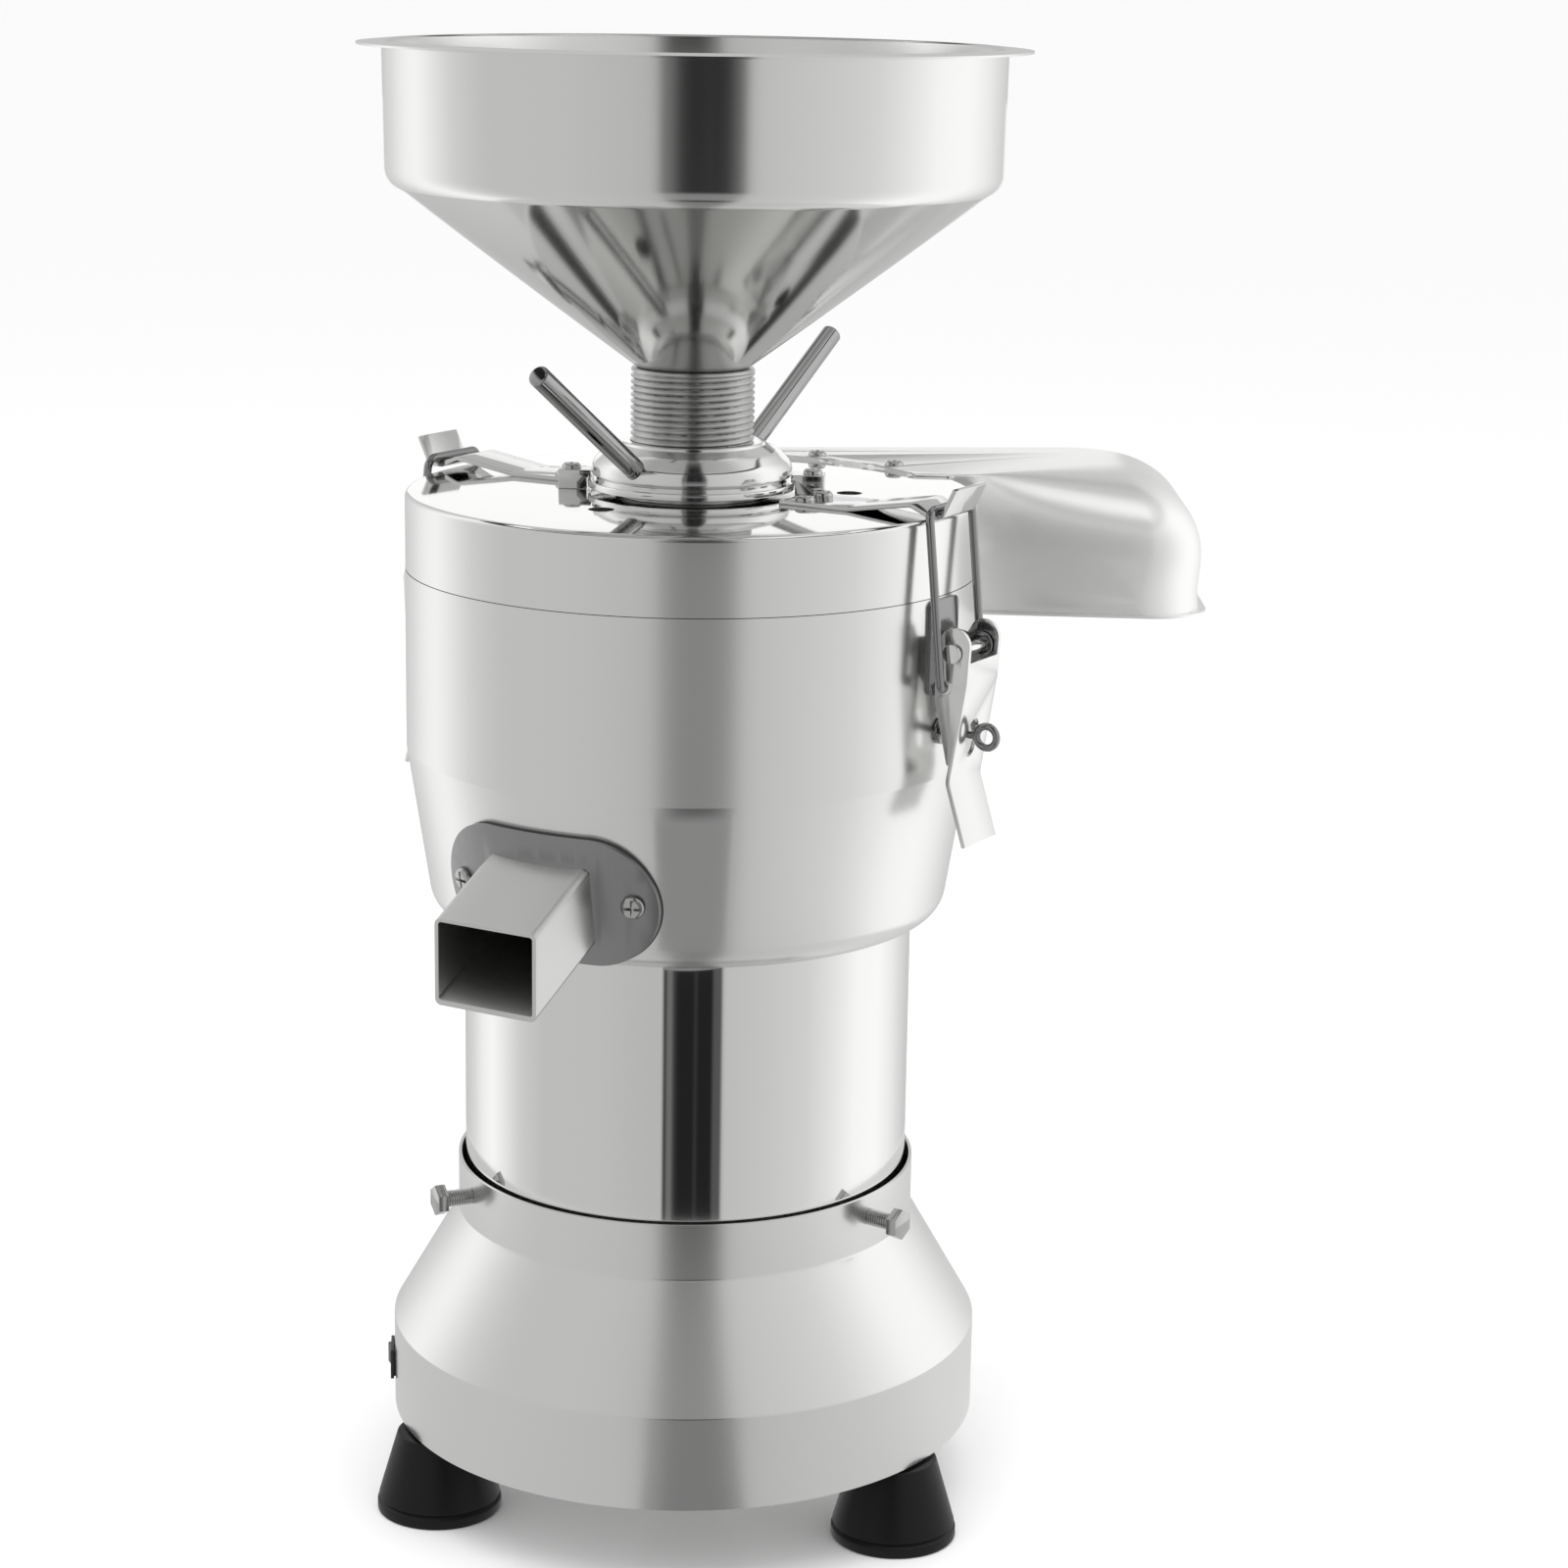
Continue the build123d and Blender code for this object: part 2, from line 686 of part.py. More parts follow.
# The hanging set: feed tube, upper stone and its carrier, which the adjusting nut raises and lowers
slot_low_z = guide_pin_z - guide_pin_radius - 3.6
slot_high_z = guide_pin_z + guide_pin_radius + 1.6
with BuildPart() as feed_tube:
    with BuildSketch(Plane.XZ):
        with BuildLine():
            Polyline(
                (tube_bore, upper_carrier_z),
                (tube_radius, upper_carrier_z),
                (tube_radius, tube_guide_top_z),
                (tube_thread_root, tube_guide_top_z + 1.4),
                (tube_thread_root, tube_top_z),
                (tube_bore + tube_seat_chamfer, tube_top_z),
                (tube_bore, tube_top_z - tube_seat_chamfer),
                close=True,
            )
        make_face()
    revolve(axis=Axis.Z)
    with BuildSketch(facing_plane(tube_radius + 5, 90, (slot_low_z + slot_high_z) / 2)):
        Rectangle(2 * guide_pin_radius + 0.6, slot_high_z - slot_low_z)
    extrude(amount=-(5 + guide_pin_depth + free_gap), mode=Mode.SUBTRACT)
save(feed_tube, "feed_tube")

with BuildPart() as upper_carrier:
    add(ring(tube_radius, upper_carrier_radius, upper_carrier_z, upper_carrier_top_z))
    add(ring(tube_radius, tube_radius + 9, upper_carrier_top_z, upper_carrier_top_z + 12))
    carrier_edges = upper_carrier.edges().filter_by(GeomType.CIRCLE)
    chamfer(carrier_edges.group_by(Axis.Z)[-1].sort_by(SortBy.RADIUS)[-1], 2)
save(upper_carrier, "upper_carrier")

with BuildPart() as upper_stone:
    with BuildSketch(Plane.XZ):
        with BuildLine():
            Polyline(
                (stone_eye_radius + 7, upper_stone_z),
                (stone_radius - 1, upper_stone_z),
                (stone_radius, upper_stone_z + 1),
                (stone_radius, upper_carrier_z),
                (stone_eye_radius, upper_carrier_z),
                (stone_eye_radius, upper_stone_z + 8),
                close=True,
            )
        make_face()
    revolve(axis=Axis.Z)
save(upper_stone, "upper_stone")

# The lid: a pressed cap with three holes, a boss that guides the tube, and the boss's guide screw
chute_end_pull = 45.0
chute_front_pull = 62.0
chute_inner_pull = 5.0
chute_inner_step = 8.0


def chute_outline(shoulder, inset=0.0):
    """The chute seen from above, at a point of its shoulder: 0 is its wall, 90 its flat top."""
    pull = 1 - cos(radians(shoulder))
    right_x = chute_reach - chute_end_pull * pull - inset
    front_y = chute_front_y + chute_front_pull * pull + inset
    inner_y = chute_front_y + chute_inner_step + chute_inner_pull * pull + inset
    slope = tan(radians(chute_back_angle))
    tangent = Vector(around(lid_radius + 0.2 - inset, 90 + chute_back_angle))
    back_y = tangent.Y + (right_x - tangent.X) * slope
    return [
        (100, inner_y),
        (136, inner_y - 1),
        (right_x, front_y),
        (right_x, back_y),
        (tangent.X, tangent.Y),
    ]


def chute_level(shoulder):
    """The height of a point of the chute's shoulder."""
    shoulder_height = 40.0
    return lid_top_z + chute_sheet - shoulder_height * (1 - sin(radians(shoulder)))


chute_shoulders = (0, 30, 55, 75, 90)
chute_levels = [(chute_bottom_z, 0)] + [(chute_level(shoulder), shoulder) for shoulder in chute_shoulders]


def chute_corners(shoulder):
    """The rounding of the chute's five corners, smaller towards its flat top."""
    return (2, 12, 28 - 14 * shoulder / 90, 16, 2)


with BuildPart() as chute_outside:
    for level, shoulder in chute_levels:
        with BuildSketch(Plane.XY.offset(level)):
            with BuildLine():
                FilletPolyline(*chute_outline(shoulder), radius=chute_corners(shoulder), close=True)
            make_face()
    loft()
with BuildPart() as chute_inside:
    for level, shoulder in chute_levels:
        drop = chute_sheet if level > chute_bottom_z else 2
        outline = chute_outline(shoulder, chute_sheet)
        with BuildSketch(Plane.XY.offset(level - drop)):
            with BuildLine():
                FilletPolyline(*outline, radius=chute_corners(shoulder), close=True)
            make_face()
    loft()
with BuildPart() as chute_window:
    with BuildSketch(Plane.XY.offset(chute_window_low_z)):
        with BuildLine():
            FilletPolyline(*chute_outline(0, chute_sheet + 2), radius=chute_corners(0), close=True)
        make_face()
    extrude(amount=lid_under_z - 4 - chute_window_low_z)

with BuildPart() as lid_blank:
    with BuildSketch(Plane.XZ):
        with BuildLine():
            FilletPolyline(
                (boss_neck_radius, lid_top_z),
                (lid_radius, lid_top_z),
                (lid_radius, lid_skirt_z),
                radius=lid_edge_radius,
            )
            offset(amount=casing_sheet, side=Side.RIGHT)
        make_face()
    revolve(axis=Axis.Z)
    with Locations((0, 0, lid_top_z)):
        with PolarLocations(lid_hole_circle, 3, start_angle=lid_hole_angle):
            Hole(lid_hole_radius, depth=2 * casing_sheet)
    add(chute_window.part, mode=Mode.SUBTRACT)

boss_bore = tube_radius + running_fit
with BuildPart() as lid_boss:
    add(ring(boss_bore, boss_radius, lid_under_z - boss_depth, lid_under_z))
    add(ring(boss_bore, boss_neck_radius, lid_under_z, boss_top_z))
    with Locations(facing_plane(boss_radius, 90, guide_pin_z).location):
        Hole(guide_pin_radius, depth=boss_radius - boss_bore + 2)
save(lid_boss, "lid_boss")

with BuildPart() as tube_guide_screw:
    with BuildSketch(facing_plane(tube_radius - guide_pin_depth, 90, guide_pin_z)):
        Circle(guide_pin_radius)
    extrude(amount=boss_radius - tube_radius + guide_pin_depth)
    with BuildSketch(facing_plane(boss_radius, 90, guide_pin_z)):
        RegularPolygon(4.5, 6, major_radius=False)
    extrude(amount=3.5)
save(tube_guide_screw, "tube_guide_screw")

# The adjusting nut: a domed nut on the tube's thread, with two handle rods set into it
with BuildPart() as adjusting_nut:
    with BuildSketch(Plane.XZ):
        with BuildLine():
            thread_clearance = tube_thread_root + free_gap
            flange_top_z = nut_bottom_z + nut_flange_height
            Polyline(
                (nut_waist_radius, flange_top_z + 1.6),
                (nut_waist_radius - 1.2, flange_top_z + 0.8),
                (nut_waist_radius - 1.2, flange_top_z),
                (nut_flange_radius, flange_top_z),
                (nut_flange_radius, nut_bottom_z),
                (thread_clearance, nut_bottom_z),
                (thread_clearance, nut_top_z),
                (nut_top_radius - 2, nut_top_z),
                (nut_top_radius, nut_top_z - 1),
            )
            ThreePointArc(
                (nut_top_radius, nut_top_z - 1),
                (nut_waist_radius - 3.2, (flange_top_z + nut_top_z) / 2 + 2.6),
                (nut_waist_radius, flange_top_z + 1.6),
            )
        make_face()
    revolve(axis=Axis.Z)
    for turn in (handle_angle, handle_angle + 180):
        rod_axis = upright_plane(turn)
        rod_start = rod_axis.from_local_coords((handle_root_radius, handle_root_z, 0))
        rod_way = rod_axis.x_dir * cos(radians(handle_tilt)) + Vector(0, 0, sin(radians(handle_tilt)))
        with BuildSketch(Plane(origin=rod_start, z_dir=rod_way)):
            Circle(handle_radius)
        extrude(amount=handle_length, mode=Mode.SUBTRACT)
save(adjusting_nut, "adjusting_nut")

with BuildPart() as nut_handles:
    for turn in (handle_angle, handle_angle + 180):
        rod_axis = upright_plane(turn)
        rod_start = rod_axis.from_local_coords((handle_root_radius, handle_root_z, 0))
        rod_way = rod_axis.x_dir * cos(radians(handle_tilt)) + Vector(0, 0, sin(radians(handle_tilt)))
        with BuildSketch(Plane(origin=rod_start, z_dir=rod_way)):
            Circle(handle_radius)
        extrude(amount=handle_length)
    chamfer(nut_handles.edges().filter_by(GeomType.CIRCLE).sort_by(Axis.Z)[-2:], 1)
save(nut_handles, "nut_handles")

# Two clips on the lid that hold the nut down by its flange and let it turn
clip_reach = nut_flange_radius + 0.5
clip_screw_reach = clip_reach + clip_length / 2 + 1
clip_top_z = lid_top_z + clip_height
with BuildPart() as nut_clips:
    for turn in (clip_angle, clip_angle + 180):
        with BuildSketch(upright_plane(turn)):
            with BuildLine():
                Polyline(
                    (clip_reach - 4, clip_top_z),
                    (clip_reach + clip_length, clip_top_z),
                    (clip_reach + clip_length, lid_top_z),
                    (clip_reach - 4, lid_top_z),
                    close=True,
                )
            make_face()
        extrude(amount=clip_width / 2, both=True)
    add(ring(0.1, clip_reach, lid_top_z - 1, flange_top_z + free_gap), mode=Mode.SUBTRACT)
    add(ring(0.1, nut_waist_radius + 0.5, flange_top_z, clip_top_z + 1), mode=Mode.SUBTRACT)
    for turn in (clip_angle, clip_angle + 180):
        with Locations(around(clip_screw_reach, turn, clip_top_z)):
            Hole(screw_radius)
save(nut_clips, "nut_clips")

# The hopper: rim flange, drum, cone and the spigot that plugs into the feed tube
with BuildPart() as hopper:
    with BuildSketch(Plane.XZ):
        with BuildLine():
            FilletPolyline(
                (hopper_flange_radius, hopper_top_z - hopper_sheet - 1.1),
                (hopper_radius, hopper_top_z - hopper_sheet),
                (hopper_radius - 0.8, hopper_corner_z),
                (hopper_neck_radius, hopper_neck_z),
                (hopper_spigot_radius, hopper_neck_z - 3),
                (hopper_spigot_radius, hopper_neck_z - hopper_spigot_length),
                radius=(1.5, hopper_corner_radius, 2, 2),
            )
            offset(amount=hopper_sheet, side=Side.RIGHT)
        make_face()
    revolve(axis=Axis.Z)
save(hopper, "hopper")

# The pulp chute: a drawn hood that closes on the lid, with a flared rim and an apron past the chamber
apron_radius = lid_radius + 0.8
with BuildPart() as chute_apron:
    add(ring(lid_radius, apron_radius + chute_sheet, chute_bottom_z, chute_window_low_z))
    with BuildSketch(Plane.XY.offset(chute_bottom_z)):
        with BuildLine():
            FilletPolyline(*chute_outline(0, chute_sheet / 2), radius=chute_corners(0), close=True)
        make_face()
    extrude(amount=chute_window_low_z - chute_bottom_z, mode=Mode.INTERSECT)
with BuildPart() as chute_hood:
    add(chute_outside.part)
    with BuildSketch(Plane.XY.offset(chute_bottom_z)):
        with BuildLine():
            FilletPolyline(*chute_outline(0, -chute_rim_flare), radius=chute_corners(0), close=True)
        make_face()
    extrude(amount=chute_sheet)
    add(chute_inside.part, mode=Mode.SUBTRACT)
    add(chute_apron.part)
    add(disc(apron_radius, chute_bottom_z - 1, lid_skirt_z), mode=Mode.SUBTRACT)
    add(disc(lid_radius + running_fit, lid_skirt_z - 1, lid_top_z), mode=Mode.SUBTRACT)
    add(disc(chute_overlap_radius, lid_top_z - 1, lid_top_z + 10), mode=Mode.SUBTRACT)
    for turn in chute_screw_angles:
        with Locations(around(chute_screw_reach, turn, lid_top_z + chute_sheet)):
            Hole(screw_radius, depth=2 * chute_sheet)
hood_solid = chute_hood.solids().sort_by(SortBy.VOLUME)[-1]
with BuildPart() as chute_hood:
    add(hood_solid)
save(chute_hood, "chute_hood")

# The latches: a spring strap on the lid, a wire bail over its end, and an over-centre lever below
strap_groove_z = bail_top_z - bail_radius - free_gap
stud_radius = 3.2
web_top_z = lever_pivot_z + 11.5
web_top_reach = lever_pivot_reach + 9.0
web_straight_z = lever_pivot_z - 14.0
web_kink_z = lever_tail_z + 29.0
web_notch_low_z = lever_pivot_z - 4.0
web_notch_width = bracket_width + 2 * free_gap
slot_half_width = 4.5
slot_length = 18.0
staple_wire_radius = 1.75
staple_ring_radius = 5.0
staple_reach = chamber_radius + 24.0
bracket_sheet = 1.5
bracket_ear_radius = 6.0
bracket_height = 44.0
bracket_ear_low_z = lever_pivot_z - 16.0
bracket_ear_high_z = lever_pivot_z + 6.0


for side, turn in latch_angles.items():
    latch_plane = upright_plane(turn)

    with BuildPart() as strap:
        with BuildSketch(latch_plane):
            with BuildLine():
                FilletPolyline(
                    (strap_start, lid_top_z),
                    (strap_start + 36, lid_top_z),
                    (bail_top_reach - 13, lid_top_z + 5),
                    (bail_top_reach - 4, strap_groove_z - strap_sheet),
                    (bail_top_reach + 4, strap_groove_z - strap_sheet),
                    (bail_top_reach + 10.5, bail_top_z + 9),
                    radius=(30, 5, 1.5, 3),
                )
                offset(amount=strap_sheet, side=Side.LEFT)
            make_face()
        extrude(amount=strap_width / 2, both=True)
        for aside in (-strap_screw_pitch / 2, strap_screw_pitch / 2):
            screw_place = (strap_screw_reach, lid_top_z + strap_sheet, aside)
            with Locations(latch_plane.from_local_coords(screw_place)):
                Hole(screw_radius, depth=strap_sheet + 1)
    save(strap, f"{side}_strap")

    with BuildPart() as bail:
        with BuildLine() as bail_line:
            bail_points = [
                (bail_foot_reach, bail_foot_z, latch_stud_half_width + free_gap),
                (bail_foot_reach, bail_foot_z, bail_half_width),
                (bail_top_reach, bail_top_z, bail_half_width),
                (bail_top_reach, bail_top_z, -bail_half_width),
                (bail_foot_reach, bail_foot_z, -bail_half_width),
                (bail_foot_reach, bail_foot_z, -latch_stud_half_width - free_gap),
            ]
            FilletPolyline(
                *[latch_plane.from_local_coords(point) for point in bail_points],
                radius=(2.2, 5, 5, 2.2),
            )
        with BuildSketch(Plane(origin=bail_line.line @ 0, z_dir=bail_line.line % 0)):
            Circle(bail_radius)
        sweep()
    save(bail, f"{side}_bail")

    with BuildPart() as lever:
        with BuildSketch(latch_plane):
            with BuildLine():
                FilletPolyline(
                    (lever_pivot_reach - 2, web_top_z),
                    (web_top_reach, web_top_z),
                    (web_top_reach - 1.5, web_straight_z),
                    (lever_pivot_reach, web_kink_z),
                    (lever_pivot_reach + 9, lever_tail_z),
                    radius=(8, 20, 8),
                )
                offset(amount=lever_sheet, side=Side.RIGHT)
            make_face()
        extrude(amount=lever_width / 2, both=True)
        for aside in (-1, 1):
            with BuildSketch(upright_plane(turn, aside * lever_width / 2)):
                with BuildLine():
                    FilletPolyline(
                        (lever_pivot_reach - 8.5, bail_foot_z - 6),
                        (lever_pivot_reach - 8.5, lever_pivot_z + 3),
                        (lever_pivot_reach - 4, web_top_z - 1),
                        (web_top_reach - 2, web_top_z - 1),
                        (web_top_reach - 2.2, web_straight_z + 2),
                        (lever_pivot_reach - 0.8, web_kink_z + 4),
                        radius=(6, 5, 3, 5, 3, 1),
                        close=True,
                    )
                make_face()
            extrude(amount=-aside * lever_sheet)
            with BuildSketch(upright_plane(turn, aside * lever_width / 2)):
                with Locations((bail_foot_reach, bail_foot_z)):
                    Circle(stud_radius)
            extrude(amount=aside * (latch_stud_half_width - lever_width / 2))
        with BuildSketch(latch_plane):
            with Locations((lever_pivot_reach, lever_pivot_z)):
                Circle(latch_pin_radius + running_fit)
        extrude(amount=lever_width, both=True, mode=Mode.SUBTRACT)
        with BuildSketch(facing_plane(web_top_reach + 5, turn, staple_z - 1)):
            SlotOverall(slot_length, 2 * slot_half_width, rotation=90)
        extrude(amount=-20, mode=Mode.SUBTRACT)
        with BuildSketch(latch_plane):
            with BuildLine():
                Polyline(
                    (lever_pivot_reach - 12, web_notch_low_z),
                    (web_top_reach + 2, web_notch_low_z),
                    (web_top_reach + 2, web_top_z + 2),
                    (lever_pivot_reach - 12, web_top_z + 2),
                    close=True,
                )
            make_face()
        extrude(amount=web_notch_width / 2, both=True, mode=Mode.SUBTRACT)
    save(lever, f"{side}_lever")

    with BuildPart() as bracket:
        with BuildSketch(facing_plane(chamber_radius - 6, turn, lever_pivot_z)):
            RectangleRounded(bracket_width, bracket_height, 4)
        extrude(amount=6 + bracket_sheet)
        for aside in (-1, 1):
            with BuildSketch(upright_plane(turn, aside * bracket_width / 2)):
                with BuildLine():
                    Polyline(
                        (chamber_radius - 2, bracket_ear_low_z),
                        (chamber_radius + bracket_sheet, bracket_ear_low_z),
                        (lever_pivot_reach + bracket_ear_radius - 1, lever_pivot_z - 3),
                        (lever_pivot_reach + bracket_ear_radius - 1, lever_pivot_z + 3),
                        (chamber_radius + bracket_sheet, bracket_ear_high_z),
                        (chamber_radius - 2, bracket_ear_high_z),
                        close=True,
                    )
                make_face()
                with Locations((lever_pivot_reach, lever_pivot_z)):
                    Circle(bracket_ear_radius)
            extrude(amount=-aside * bracket_sheet)
        with BuildSketch(latch_plane):
            with Locations((lever_pivot_reach, lever_pivot_z)):
                Circle(latch_pin_radius)
        extrude(amount=lever_width, both=True, mode=Mode.SUBTRACT)
        add(disc(chamber_radius, lever_pivot_z - 40, lever_pivot_z + 40), mode=Mode.SUBTRACT)
    save(bracket, f"{side}_bracket")

    with BuildPart() as latch_pin:
        with BuildSketch(latch_plane):
            with Locations((lever_pivot_reach, lever_pivot_z)):
                Circle(latch_pin_radius)
        extrude(amount=lever_width / 2 + 0.4, both=True)
        for aside in (-1, 1):
            with BuildSketch(upright_plane(turn, aside * (lever_width / 2 + 0.3))):
                with Locations((lever_pivot_reach, lever_pivot_z)):
                    Circle(latch_pin_radius + 1.8)
            extrude(amount=aside * 1.6, taper=15)
    save(latch_pin, f"{side}_latch_pin")

    with BuildPart() as staple:
        with BuildSketch(facing_plane(chamber_radius - 3, turn, staple_z)):
            Circle(6)
        extrude(amount=4.5)
        with BuildSketch(facing_plane(chamber_radius - 2, turn, staple_z)):
            Circle(staple_wire_radius)
        extrude(amount=staple_reach - staple_ring_radius - chamber_radius + 2)
        add(
            Plane(
                origin=around(staple_reach, turn, staple_z),
                x_dir=latch_plane.x_dir,
                z_dir=latch_plane.z_dir,
            ).location
            * Torus(staple_ring_radius, staple_wire_radius, mode=Mode.PRIVATE)
        )
        add(disc(chamber_radius, staple_z - 20, staple_z + 20), mode=Mode.SUBTRACT)
    save(staple, f"{side}_staple")


# The lid's screws: four for the straps, three for the chute and two for the nut's clips
strap_screw_places = [
    tuple(upright_plane(turn).from_local_coords((strap_screw_reach, lid_top_z + strap_sheet, aside)))
    for turn in latch_angles.values()
    for aside in (-strap_screw_pitch / 2, strap_screw_pitch / 2)
]
chute_screw_places = [
    around(chute_screw_reach, turn, lid_top_z + chute_sheet)
    for turn in chute_screw_angles
]
clip_screw_places = [
    around(clip_screw_reach, clip_angle + turn, clip_top_z)
    for turn in (0, 180)
]
with BuildPart() as strap_screws:
    for place in strap_screw_places:
        add(pan_screw(place, strap_sheet + casing_sheet + 3))
save(strap_screws, "strap_screws")
with BuildPart() as chute_screws:
    for place in chute_screw_places:
        add(pan_screw(place, chute_sheet + casing_sheet + 3))
save(chute_screws, "chute_screws")
with BuildPart() as clip_screws:
    for place in clip_screw_places:
        add(pan_screw(place, clip_top_z - lid_top_z + casing_sheet + 3))
save(clip_screws, "clip_screws")

# The lid's shell comes last, with the holes that all its screws pass through
with BuildPart() as lid_shell:
    add(lid_blank.part)
    for place in strap_screw_places + chute_screw_places + clip_screw_places:
        with Locations((place[0], place[1], lid_top_z)):
            Hole(screw_radius, depth=casing_sheet + 1)
save(lid_shell, "lid_shell")
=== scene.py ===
# %% [markdown]
# # A soy milk machine in polished and satin stainless steel
#
# The machine is an upright grinder: beans go in at the hopper on top, two stones grind them, a spinning
# basket holds the pulp back, and the milk leaves by the square spout at the front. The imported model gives
# every piece at its real size and place. This scene gives the pieces their looks: smooth turned skins, real
# screw heads and threads, and steel that is polished in one place and satin in the next. Lengths are
# written in millimetres, and `MM` turns them into Blender's metres.

import json
from math import cos, degrees, hypot, pi, radians, sin, tan

import bpy
from mathutils import Matrix, Vector

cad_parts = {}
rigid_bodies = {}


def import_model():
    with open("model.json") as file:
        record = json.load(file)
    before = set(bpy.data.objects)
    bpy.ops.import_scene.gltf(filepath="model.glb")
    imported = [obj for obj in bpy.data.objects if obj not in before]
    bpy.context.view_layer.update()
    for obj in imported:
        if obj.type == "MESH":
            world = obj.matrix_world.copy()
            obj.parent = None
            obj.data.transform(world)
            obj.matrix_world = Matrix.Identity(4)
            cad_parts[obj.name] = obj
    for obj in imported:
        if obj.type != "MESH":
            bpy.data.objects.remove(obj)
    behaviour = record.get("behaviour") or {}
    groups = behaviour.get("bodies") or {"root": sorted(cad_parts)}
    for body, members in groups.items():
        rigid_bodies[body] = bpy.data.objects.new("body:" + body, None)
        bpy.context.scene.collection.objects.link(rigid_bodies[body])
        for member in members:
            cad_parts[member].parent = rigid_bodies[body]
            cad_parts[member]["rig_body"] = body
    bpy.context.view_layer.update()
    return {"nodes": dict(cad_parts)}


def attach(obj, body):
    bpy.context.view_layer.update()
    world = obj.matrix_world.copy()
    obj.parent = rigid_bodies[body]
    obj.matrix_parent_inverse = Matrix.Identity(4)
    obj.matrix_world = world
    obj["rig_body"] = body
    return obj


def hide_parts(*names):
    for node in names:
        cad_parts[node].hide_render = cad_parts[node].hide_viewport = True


MM = 0.001
TRIPOD = (-36.0, 84.0, 204.0)
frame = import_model()
nodes = frame["nodes"]
bpy.ops.object.select_all(action="DESELECT")


# %% [markdown]
# ## Small tools for modelling
#
# Nearly everything here is round, so one tool does most of the work: draw half of the section as a line of
# vertices and spin it around the upright axis. Drawing it vertex by vertex with Extrude is what one does by
# hand. The corners of a section are rounded by a formula, because a pressed or spun sheet never has a sharp
# fold.

# %% Round the corners of a section
def rounded(corners, steps=6):
    """Points of a section from its corners (radius, height, rounding), in millimetres."""
    points = [Vector(corners[0][:2])]
    for before, here, after in zip(corners, corners[1:], corners[2:]):
        corner = Vector(here[:2])
        if here[2] == 0:
            points.append(corner)
            continue
        back = (Vector(before[:2]) - corner).normalized()
        ahead = (Vector(after[:2]) - corner).normalized()
        half = back.angle(ahead) / 2
        reach = here[2] / tan(half)
        centre = corner + (back + ahead).normalized() * here[2] / sin(half)
        start = corner + back * reach - centre
        end = corner + ahead * reach - centre
        sweep = start.angle_signed(end)
        for step in range(steps + 1):
            turn = -sweep * step / steps
            across = start.x * cos(turn) - start.y * sin(turn)
            upward = start.x * sin(turn) + start.y * cos(turn)
            points.append(centre + Vector((across, upward)))
    points.append(Vector(corners[-1][:2]))
    return points


# %% Draw a line of vertices
def drawn_line(name, points):
    """A new object that holds one line of vertices, drawn from point to point by extruding."""
    bpy.ops.object.select_all(action="DESELECT")
    bpy.ops.mesh.primitive_plane_add(size=MM)
    line = bpy.context.object
    line.name = name
    bpy.ops.object.mode_set(mode="EDIT")
    bpy.ops.mesh.select_all(action="SELECT")
    bpy.ops.mesh.merge(type="CENTER")
    last = Vector((0, 0, 0))
    for number, point in enumerate(points):
        step = tuple((point - last) * MM)
        if number == 0:
            bpy.ops.transform.translate(value=step)
        else:
            bpy.ops.mesh.extrude_vertices_move(TRANSFORM_OT_translate={"value": step})
        last = point
    bpy.ops.object.mode_set(mode="OBJECT")
    return line


# %% Spin a section into a turned piece
def turned(name, section, steps=160, closed=False):
    """A piece turned about the upright axis from a section of (radius, height) points in millimetres."""
    points = [Vector((point[0], 0, point[1])) for point in section]
    if closed:
        points.append(points[0])
    piece = drawn_line(name, points)
    bpy.ops.object.mode_set(mode="EDIT")
    bpy.ops.mesh.select_all(action="SELECT")
    bpy.ops.mesh.spin(steps=steps, angle=2 * pi, center=(0, 0, 0), axis=(0, 0, 1))
    bpy.ops.mesh.select_all(action="SELECT")
    bpy.ops.mesh.remove_doubles(threshold=0.01 * MM)
    bpy.ops.mesh.normals_make_consistent(inside=False)
    bpy.ops.object.mode_set(mode="OBJECT")
    return piece


# %% Places around the axis, and boxes
def around(radius, angle, height):
    """A point at a radius and an angle in degrees about the machine's axis."""
    return Vector((radius * cos(radians(angle)), radius * sin(radians(angle)), height))


def box(middle, size, rotation=(0, 0, 0)):
    """A box by its middle and its three sizes in metres, to cut with or to hang in the studio."""
    bpy.ops.object.select_all(action="DESELECT")
    bpy.ops.mesh.primitive_cube_add(size=1, location=middle, rotation=rotation, scale=size)
    return bpy.context.object


# %% Modifiers, shading and riding
def only(piece):
    """Selects one piece and makes it the active one."""
    bpy.ops.object.select_all(action="DESELECT")
    piece.select_set(True)
    bpy.context.view_layer.objects.active = piece


def apply_modifier(piece, kind, **settings):
    """Adds a modifier with the settings given and applies it."""
    only(piece)
    modifier = piece.modifiers.new(kind.title(), kind)
    for key, value in settings.items():
        setattr(modifier, key, value)
    bpy.ops.object.modifier_apply(modifier=modifier.name)


def thicken(piece, sheet):
    """Gives a skin the thickness of its sheet, inwards from the surface that was drawn."""
    apply_modifier(piece, "SOLIDIFY", thickness=sheet * MM, offset=-1)


def cut(piece, cutter):
    """Takes a cutter's volume out of a piece, and removes the cutter."""
    apply_modifier(piece, "BOOLEAN", operation="DIFFERENCE", object=cutter, solver="EXACT")
    bpy.data.objects.remove(cutter)


def smooth(piece, angle=35):
    """Smooth shading that leaves the edges that are sharper than an angle."""
    only(piece)
    bpy.ops.object.shade_smooth_by_angle(angle=radians(angle))
    bpy.ops.object.select_all(action="DESELECT")


def placed(piece):
    """Puts a piece's place into its mesh, so that its object sits at the origin."""
    only(piece)
    bpy.ops.object.transform_apply(location=True, rotation=True, scale=True)


